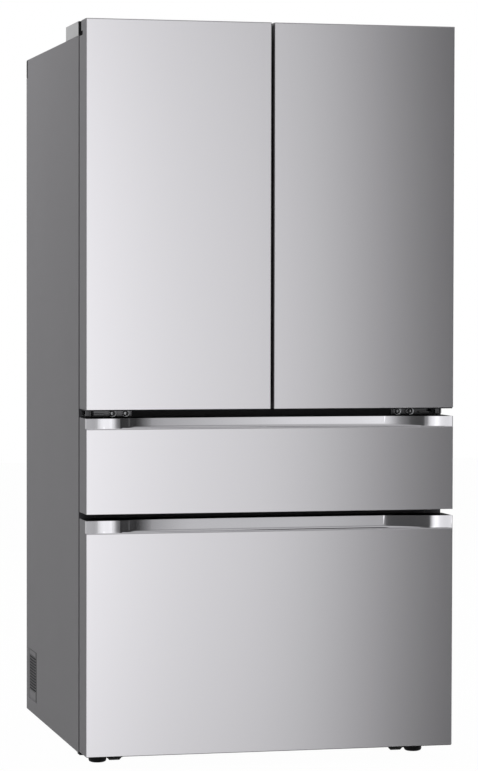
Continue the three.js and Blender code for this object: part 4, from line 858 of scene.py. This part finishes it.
def paint_rims(node):
    """The steel returns a little way round the back of a door or drawer, outside its seal."""
    low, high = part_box(node)

    def outside(centre, normal):
        to_side = min(centre.x - low[0], high[0] - centre.x)
        to_end = min(centre.z - low[2], high[2] - centre.z)
        on_back = normal.y > 0.5 and DOOR_BACK - 0.003 < centre.y < DOOR_BACK + 0.004
        return on_back and min(to_side, to_end) < RIM - 0.0005

    paint(node, "case_paint", outside)


def cap_ends_and_shade_hinge_notch(node):
    """Doors and drawers are closed above and below by black end caps; a door's corner beside its top hinge
    is painted black as shade in the hinge's notch.
    """
    low, high = (corner[2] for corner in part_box(node))
    drawer = node.endswith("drawer_body")

    def at_end(centre, normal):
        near_end = min(abs(centre.z - low), abs(centre.z - high)) < CAP_REACH
        cap = near_end and abs(normal.z) > 0.7 and centre.y < DOOR_BACK + 0.001
        ledge = drawer and centre.y < LEDGE_FRONT and centre.z > high - LEDGE_REACH
        # Painted shade: black on a door's corner beside the top hinge stands in for the shade in the
        # hinge's notch.
        at_corner = centre.z > HINGE_SHADE_FROM_Z and abs(centre.x) > HINGE_SHADE_FROM_X
        hinge_notch_shade = at_corner and centre.y < DOOR_BACK
        return cap or ledge or (hinge_notch_shade and not drawer)

    paint(node, "black_plastic", at_end)


def paint_sides(node):
    """The skins' sides, whose faces look left and right, take the case's grey finish in place of the
    steel.
    """
    paint(node, "case_paint", lambda centre, normal: abs(normal.x) > 0.8)


def paint_case_shade():
    """Painted shade: the flanges that the seals meet, the covers' fronts and the edges of the vents' slots
    are given dark finishes for the shade in the narrow gaps and behind the slots.
    """

    def slot_edge_shade(centre, normal):
        in_field = within(centre.y, SLOTS_Y) and within(centre.z, SLOTS_Z)
        return in_field and abs(centre.x) < (VENT_FLOOR + 0.2) * MM and abs(normal.x) < 0.95

    # Painted shade: the front flanges take the black rail paint for the shade in the gap behind the seals.
    for node in ("side_panel_left", "side_panel_right", "top_panel"):
        paint(node, "rail_paint", lambda centre, normal: normal.y < -0.5 and centre.y < SHADED_FLANGE_BACK)
    # Painted shade: the hinge covers' fronts, in the gap beside the doors, are painted black.
    for node in ("hinge_cover_left", "hinge_cover_right"):
        paint(node, "black_plastic", lambda centre, normal: normal.y < -0.5)
    # Painted shade: the slots' cut edges are painted black for the shade of the compartment behind them.
    for node in ("side_panel_left", "side_panel_right"):
        paint(node, "black_plastic", slot_edge_shade)


def paint_slides():
    """The drawers' telescopic slides are steel, on the liners and on the bins."""
    for node in ("middle_drawer_bin", "freezer_basket"):
        paint(node, "fin_metal", lambda centre, normal: abs(centre.x) > BIN_SLIDE)
    for node, low in (("middle_drawer_liner", 0.704), ("freezer_liner", 0.250)):

        def on_channel(centre, normal):
            at_height = low - 1e-4 < centre.z < low + CHANNEL_HEIGHT + 1e-4
            return at_height and within(abs(centre.x), CHANNEL_X)

        paint(node, "fin_metal", on_channel)


# The stamped recess of a side vent: its front, bottom, top and floor, and the slots' pitch.
VENT_FRONT = 278.0
VENT_BOTTOM = 64.0
VENT_TOP = 196.0
VENT_FLOOR = 451.4
VENT_PITCH = 7.6
# How far out and how wide the black bars of painted shade in the vent's recess reach.
SHADE_BAR_OUT = 452.0
SHADE_BAR_WIDTH = 26.0
LAND_WIDTH = 38.0
LAND_SLOPE = 9.0


def side_bar(name, side, low, high):
    """A black bar on the case's side, given for the right side."""
    finish_piece(side_block(name, side, low, high), 0.25, "cabinet", "black_plastic")


def vent_parts(name, side):
    """What a side vent has besides its slots: baffle, black bars of painted shade along two walls, land
    behind it.
    """
    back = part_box(f"side_panel_{name}")[1][1] / MM
    end = back - LAND_WIDTH
    side_bar(f"vent_baffle_{name}", side, (448.7, 296, 84), (449.9, 408, 184))
    # Painted shade: two black bars along the recess's front and top walls stand in for the contact shadow
    # there.
    low = (VENT_FLOOR, VENT_FRONT + 0.2, VENT_BOTTOM + 0.4)
    high = (SHADE_BAR_OUT, VENT_FRONT + SHADE_BAR_WIDTH, VENT_TOP - 0.4)
    side_bar(f"vent_shade_bar_front_{name}", side, low, high)
    low = (VENT_FLOOR, VENT_FRONT + SHADE_BAR_WIDTH + 0.2, VENT_TOP - 3.2)
    side_bar(f"vent_shade_bar_top_{name}", side, low, (SHADE_BAR_OUT, end, VENT_TOP - 0.4))
    low = (VENT_FLOOR, end, VENT_BOTTOM - 0.9)
    land = side_block(f"vent_land_{name}", side, low, (HALF_WIDTH, back - 1.1, VENT_TOP + 0.9))
    start_editing(land, "VERT")
    for point in land.data.vertices:
        point.select = abs(point.co.x) > (HALF_WIDTH - 1) * MM and point.co.y < (end + 1) * MM
    edit(bpy.ops.transform.translate, value=(0, LAND_SLOPE * MM, 0))
    round_edges(land, 0.2, 2, angle=8)
    pull_in(land)
    smooth(land)
    fit_out(land, "cabinet", "case_paint")


def vent_ribs(name, side):
    """Black ribs over the sheet that is left between a vent's slots."""
    low, high = (VENT_FLOOR, 322, 86.0), (VENT_FLOOR + 0.5, 401, 90.0)
    ribs = side_block(f"vent_ribs_{name}", side, low, high)
    round_edges(ribs, 0.2, 1)
    add_modifier(
        ribs, "ARRAY", count=13, use_relative_offset=False, use_constant_offset=True,
        constant_offset_displace=(0, 0, VENT_PITCH * MM),
    )
    smooth(ribs)
    fit_out(ribs, "cabinet", "rail_paint")


def roller_bracket(name, side):
    """Black bracket in front of a roller, beside the levelling foot."""
    low, high = (339.0, -311, 11), (379.5, -302, 33)
    bracket = side_block(f"roller_bracket_{name}", side, low, high)
    corner = side * low[0] * MM

    def lower_corner(a, b):
        return max(abs(a.x - corner), abs(b.x - corner)) < 1e-4 and max(a.z, b.z) < 0.012

    choose_edges(bracket, lower_corner)
    edit(bpy.ops.mesh.bevel, offset=5 * MM, segments=3)
    finish_piece(bracket, 0.8, "cabinet", "black_plastic")


def corner_tab(name, side):
    """Black tab at the case's lower front corner."""
    tab = side_block(f"corner_tab_{name}", side, (437.0, -345.0, 25.5), (453.0, -316, 29.6))
    finish_piece(tab, 1.2, "cabinet", "black_plastic")


def end_strip(node, body, thickness):
    """Black strip closing the lower edge of a door or drawer."""
    low, high = (tuple(value / MM for value in corner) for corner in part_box(node))
    inset, bottom = 1.6, low[2]
    near = (low[0] + inset, FRONT_Y + 1.4, bottom - thickness)
    far = (high[0] - inset, -352, bottom - 0.02)
    finish_piece(block(f"{body}_bottom_strip", near, far), 0.8, body, "black_plastic")


# The bolts of the middle hinges: height, distances from the middle, radii, and the plate they hold.
BOLT_Z = 847.8
BOLT_OUTER, BOLT_INNER = 373.0, 340.5
WASHER_RADIUS, HEAD_RADIUS = 9.0, 6.6
PLATE = 3.0


def hinge_bolt(name, x):
    """Black bolt on a bright washer, which holds a middle hinge to the case's front."""
    z = BOLT_Z
    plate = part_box("hinge_middle_left")[1][1] / MM - PLATE
    turn = (math.radians(90), 0, 0)
    middle = x + 1.2
    washer = drum(f"{name}_washer", WASHER_RADIUS, (middle, plate - 3.4, z), (middle, plate, z), turn)
    choose_faces(washer, lambda centre, normal: normal.y < -0.9)
    bpy.ops.object.mode_set(mode="EDIT")
    bpy.ops.mesh.inset(thickness=1.0 * MM, depth=0)
    bpy.ops.mesh.inset(thickness=1.2 * MM, depth=-0.5 * MM)
    bpy.ops.object.mode_set(mode="OBJECT")
    finish_piece(washer, 0.3, "cabinet", "fin_metal")
    middle = x - 0.6
    head = drum(f"{name}_head", HEAD_RADIUS, (middle, plate - 4.6, z), (middle, plate - 1.0, z), turn, 24)
    choose_faces(head, lambda centre, normal: normal.y < -0.9)
    bpy.ops.object.mode_set(mode="EDIT")
    bpy.ops.mesh.inset(thickness=2.8 * MM, depth=0)
    bpy.ops.mesh.extrude_region_move(TRANSFORM_OT_translate={"value": (0, 1.8 * MM, 0)})
    bpy.ops.object.mode_set(mode="OBJECT")
    finish_piece(head, 0.7, "cabinet", "compressor_paint", 3)


dress_frame()
for front in ("door_left", "door_right", "middle_drawer", "freezer_drawer"):
    paint_sides(f"{front}_skin")
    paint_rims(f"{front}_body")
    cap_ends_and_shade_hinge_notch(f"{front}_body")
paint_case_shade()
paint_slides()
end_strip("freezer_drawer_skin", "freezer_drawer", 1.5)
end_strip("door_left_skin", "door_left", 2.6)
end_strip("door_right_skin", "door_right", 2.6)
for side_name, side in SIDES:
    vent_parts(side_name, side)
    vent_ribs(side_name, side)
    roller_bracket(side_name, side)
    corner_tab(side_name, side)
handle_band("middle_drawer_handle_band", MIDDLE_LIP, MIDDLE_TOP, MIDDLE_SLOPES)
handle_band("freezer_drawer_handle_band", FREEZER_LIP, FREEZER_TOP, FREEZER_SLOPES)
lip_bead("middle_lip_bead", "middle_drawer", MIDDLE_LIP)
lip_bead("freezer_lip_bead", "freezer_drawer", FREEZER_LIP)
for side_name, side in SIDES:
    hinge_bolt(f"hinge_bolt_outer_{side_name}", side * BOLT_OUTER)
    hinge_bolt(f"hinge_bolt_inner_{side_name}", side * BOLT_INNER)


# ---------------------------------------------------------------- studio
FLOOR_GREY = (0.55, 0.55, 0.55, 1)
FLOOR_WHITE_SHARE = 0.985
WHITE = (1, 1, 1, 1)


def blend(tree, share, first, second):
    """A mix of two shaders: the second one's part is share."""
    mix = place(tree, "ShaderNodeMixShader")
    wire(tree, share, mix.inputs[0])
    wire(tree, first, mix.inputs[1])
    wire(tree, second, mix.inputs[2])
    return mix.outputs[0]


def studio_floor():
    """Pale floor: nearly white to the camera, with a trace of shadow, and clear to reflections."""
    deselect()
    bpy.ops.mesh.primitive_plane_add(size=24, location=(0, 0, 0))
    floor = named("studio_floor")
    material = bpy.data.materials.new("pale studio floor")
    material.use_nodes = True
    tree = material.node_tree
    shader = tree.nodes["Principled BSDF"]
    shader.inputs["Base Color"].default_value = FLOOR_GREY
    shader.inputs["Roughness"].default_value = 0.9
    glow = place(tree, "ShaderNodeEmission")
    glow.inputs["Color"].default_value = WHITE
    seen = place(tree, "ShaderNodeLightPath").outputs
    share = maths(tree, "MULTIPLY", seen["Is Camera Ray"], FLOOR_WHITE_SHARE)
    pale = blend(tree, share, shader.outputs[0], glow.outputs[0])
    clear = place(tree, "ShaderNodeBsdfTransparent")
    whole = blend(tree, seen["Is Glossy Ray"], pale, clear.outputs[0])
    wire(tree, whole, tree.nodes["Material Output"].inputs["Surface"])
    floor.data.materials.append(material)


# What polished faces see round the studio: degrees from straight ahead of the doors, brightness.
ROOM_LEVEL = 1.25
ROOM = (
    (-180, 0.5), (-120, 0.6), (-85, 0.4), (-60, 0.55), (-26, 0.5), (-17, 0.07), (-12, 0.06), (-6, 0.07),
    (-4, 0.1), (-3, 0.25), (-2, 0.5), (-1, 0.72), (0, 0.9), (2, 1.05), (6, 1.2), (9, 1.2), (10, 1.16),
    (11, 0.91), (12, 0.74), (14, 0.8), (15, 0.75), (16, 0.425), (17, 0.105), (18, 0.05), (24, 0.035),
    (72, 0.04), (84, 0.6), (104, 0.95), (130, 0.6), (180, 0.5),
)
# The room fades to ROOM_EDGE of its brightness above and below this height of the view's direction.
ROOM_MIDDLE, ROOM_EDGE, ROOM_FADE = -0.035, 0.4, 13.0
# What reflections that look down at the floor see, by the same degrees.
FLOOR = (
    (-180, 0.5), (-60, 0.62), (-16, 0.55), (0, 0.5), (10, 0.5), (15, 0.3), (18, 0.06), (21, 0.06),
    (30, 0.5), (60, 0.7), (110, 0.6), (180, 0.5),
)
# Heights of the view's direction between which the floor and the ceiling take over from the room.
FLOOR_FROM, FLOOR_BELOW = -0.19, -0.25
CEILING_FROM, CEILING_ABOVE = 0.15, 0.45
# Away from the panel that the fronts show the photograph's camera, the floor's light starts higher.
SIDE_FROM, SIDE_BELOW = -0.095, -0.135
PANEL_LEFT, PANEL_RIGHT = (4, -4), (26, 36)
# Brightness of the ceiling, and of the even light that falls on everything.
CEILING = 0.46
SOFT_LIGHT = 0.415


def compass_share(degrees):
    return (degrees + 180) / 360


def round_ramp(tree, share, stops, level):
    """A ramp over the compass from degrees to brightness, with colours held at or under 1."""
    ramp = place(tree, "ShaderNodeValToRGB")
    ramp.color_ramp.interpolation = "LINEAR"
    elements = ramp.color_ramp.elements
    while len(elements) < len(stops):
        elements.new(0.5)
    for element, (degrees, value) in zip(elements, stops):
        element.position = compass_share(degrees)
        element.color = (value / level, value / level, value / level, 1)
    wire(tree, share, ramp.inputs[0])
    return ramp.outputs[0]


def mapped(tree, value, start, end):
    """0 at start, 1 at end and beyond."""
    node = place(tree, "ShaderNodeMapRange")
    wire(tree, value, node.inputs["Value"])
    node.inputs["From Min"].default_value = start
    node.inputs["From Max"].default_value = end
    return node.outputs[0]


def floor_share(tree, share, height):
    """How much a reflection sees of the floor, from the way it looks."""
    beside = maths(
        tree, "MAXIMUM",
        mapped(tree, share, *(compass_share(a) for a in PANEL_LEFT)),
        mapped(tree, share, *(compass_share(a) for a in PANEL_RIGHT)),
    )
    early = maths(tree, "MULTIPLY", beside, mapped(tree, height, SIDE_FROM, SIDE_BELOW))
    return maths(tree, "MAXIMUM", early, mapped(tree, height, FLOOR_FROM, FLOOR_BELOW))


def background(tree, color=WHITE, strength=1.0):
    """A background light; colour and strength are values or sockets."""
    node = place(tree, "ShaderNodeBackground")
    for name, value in (("Color", color), ("Strength", strength)):
        if isinstance(value, bpy.types.NodeSocket):
            wire(tree, value, node.inputs[name])
        else:
            node.inputs[name].default_value = value
    return node.outputs[0]


def room_strength(tree, height):
    """Brightest a little under the horizon, and dimmer above and below it."""
    rise = maths(tree, "SUBTRACT", height, ROOM_MIDDLE)
    square = maths(tree, "MULTIPLY", rise, rise)
    falloff = maths(tree, "EXPONENT", maths(tree, "MULTIPLY", square, -ROOM_FADE))
    return maths(tree, "MULTIPLY_ADD", falloff, (1 - ROOM_EDGE) * ROOM_LEVEL, ROOM_EDGE * ROOM_LEVEL)


def studio_world():
    """White to the camera, even light on everything, and a room with soft panels in reflections."""
    world = bpy.data.worlds.new("studio")
    bpy.context.scene.world = world
    world.use_nodes = True
    tree = world.node_tree
    tree.nodes.clear()
    seen = place(tree, "ShaderNodeLightPath").outputs
    split = place(tree, "ShaderNodeSeparateXYZ")
    wire(tree, place(tree, "ShaderNodeTexCoord").outputs["Generated"], split.inputs[0])
    right, back, height = split.outputs
    angle = maths(tree, "ARCTAN2", right, maths(tree, "MULTIPLY", back, -1.0))
    share = maths(tree, "MULTIPLY_ADD", angle, 1 / (2 * math.pi), 0.5)
    room = background(tree, round_ramp(tree, share, ROOM, ROOM_LEVEL), room_strength(tree, height))
    floor = background(tree, round_ramp(tree, share, FLOOR, 1.0))
    ceiling = background(tree, strength=CEILING)
    walls = blend(tree, floor_share(tree, share, height), room, floor)
    walls = blend(tree, mapped(tree, height, CEILING_FROM, CEILING_ABOVE), walls, ceiling)
    lit = blend(tree, seen["Is Glossy Ray"], background(tree, strength=SOFT_LIGHT), walls)
    direct = maths(tree, "MAXIMUM", seen["Is Camera Ray"], seen["Is Transmission Ray"])
    whole = blend(tree, direct, lit, background(tree))
    wire(tree, whole, place(tree, "ShaderNodeOutputWorld").inputs["Surface"])


def softbox(name, place_at, aim, size, watts):
    deselect()
    bpy.ops.object.light_add(type="AREA", location=place_at)
    lamp = bpy.context.view_layer.objects.active
    lamp.name = name
    lamp.data.shape = "SQUARE"
    lamp.data.size = size
    lamp.data.energy = watts
    lamp.visible_glossy = False
    lamp.rotation_euler = (Vector(aim) - Vector(place_at)).to_track_quat("-Z", "Y").to_euler()


# The camera's lens in millimetres, its yaw, pitch and roll in degrees, and its place in metres.
CAMERA_LENS = 135.13
CAMERA_TURNS = (13.429, -1.8175, 0.117)
CAMERA_PLACE = (-1.6904, -7.1710, 1.1358)


def studio_camera():
    """The photograph's viewpoint, fitted to the edges of the doors, drawers and case."""
    data = bpy.data.cameras.new("camera")
    camera = bpy.data.objects.new("camera", data)
    bpy.context.collection.objects.link(camera)
    data.sensor_width = 36.0
    data.lens = CAMERA_LENS
    data.clip_end = 100.0
    yaw, pitch, roll = (math.radians(a) for a in CAMERA_TURNS)
    turn = (
        Matrix.Rotation(-yaw, 4, "Z")
        @ Matrix.Rotation(math.pi / 2 + pitch, 4, "X")
        @ Matrix.Rotation(roll, 4, "Z")
    )
    camera.matrix_world = Matrix.Translation(CAMERA_PLACE) @ turn
    bpy.context.scene.camera = camera


# Name, place, aim, size in metres and watts.
MIDDLE = (0, 0, 0.9)
LAMPS = (
    ("key_light", (-3.2, -4.6, 3.6), MIDDLE, 2.5, 80),
    ("left_light", (-1.9, 1.1, 2.9), (-0.4, 0.3, 1.5), 1.0, 47),
    ("right_light", (3.6, -1.8, 2.6), MIDDLE, 2.5, 90),
    ("top_light", (0.2, 0.4, 4.6), MIDDLE, 2.5, 60),
    ("rear_light", (1.6, 4.8, 3.2), MIDDLE, 2.5, 90),
)

studio_floor()
studio_world()
for lamp in LAMPS:
    softbox(*lamp)
studio_camera()
bpy.context.scene.view_settings.view_transform = "Standard"
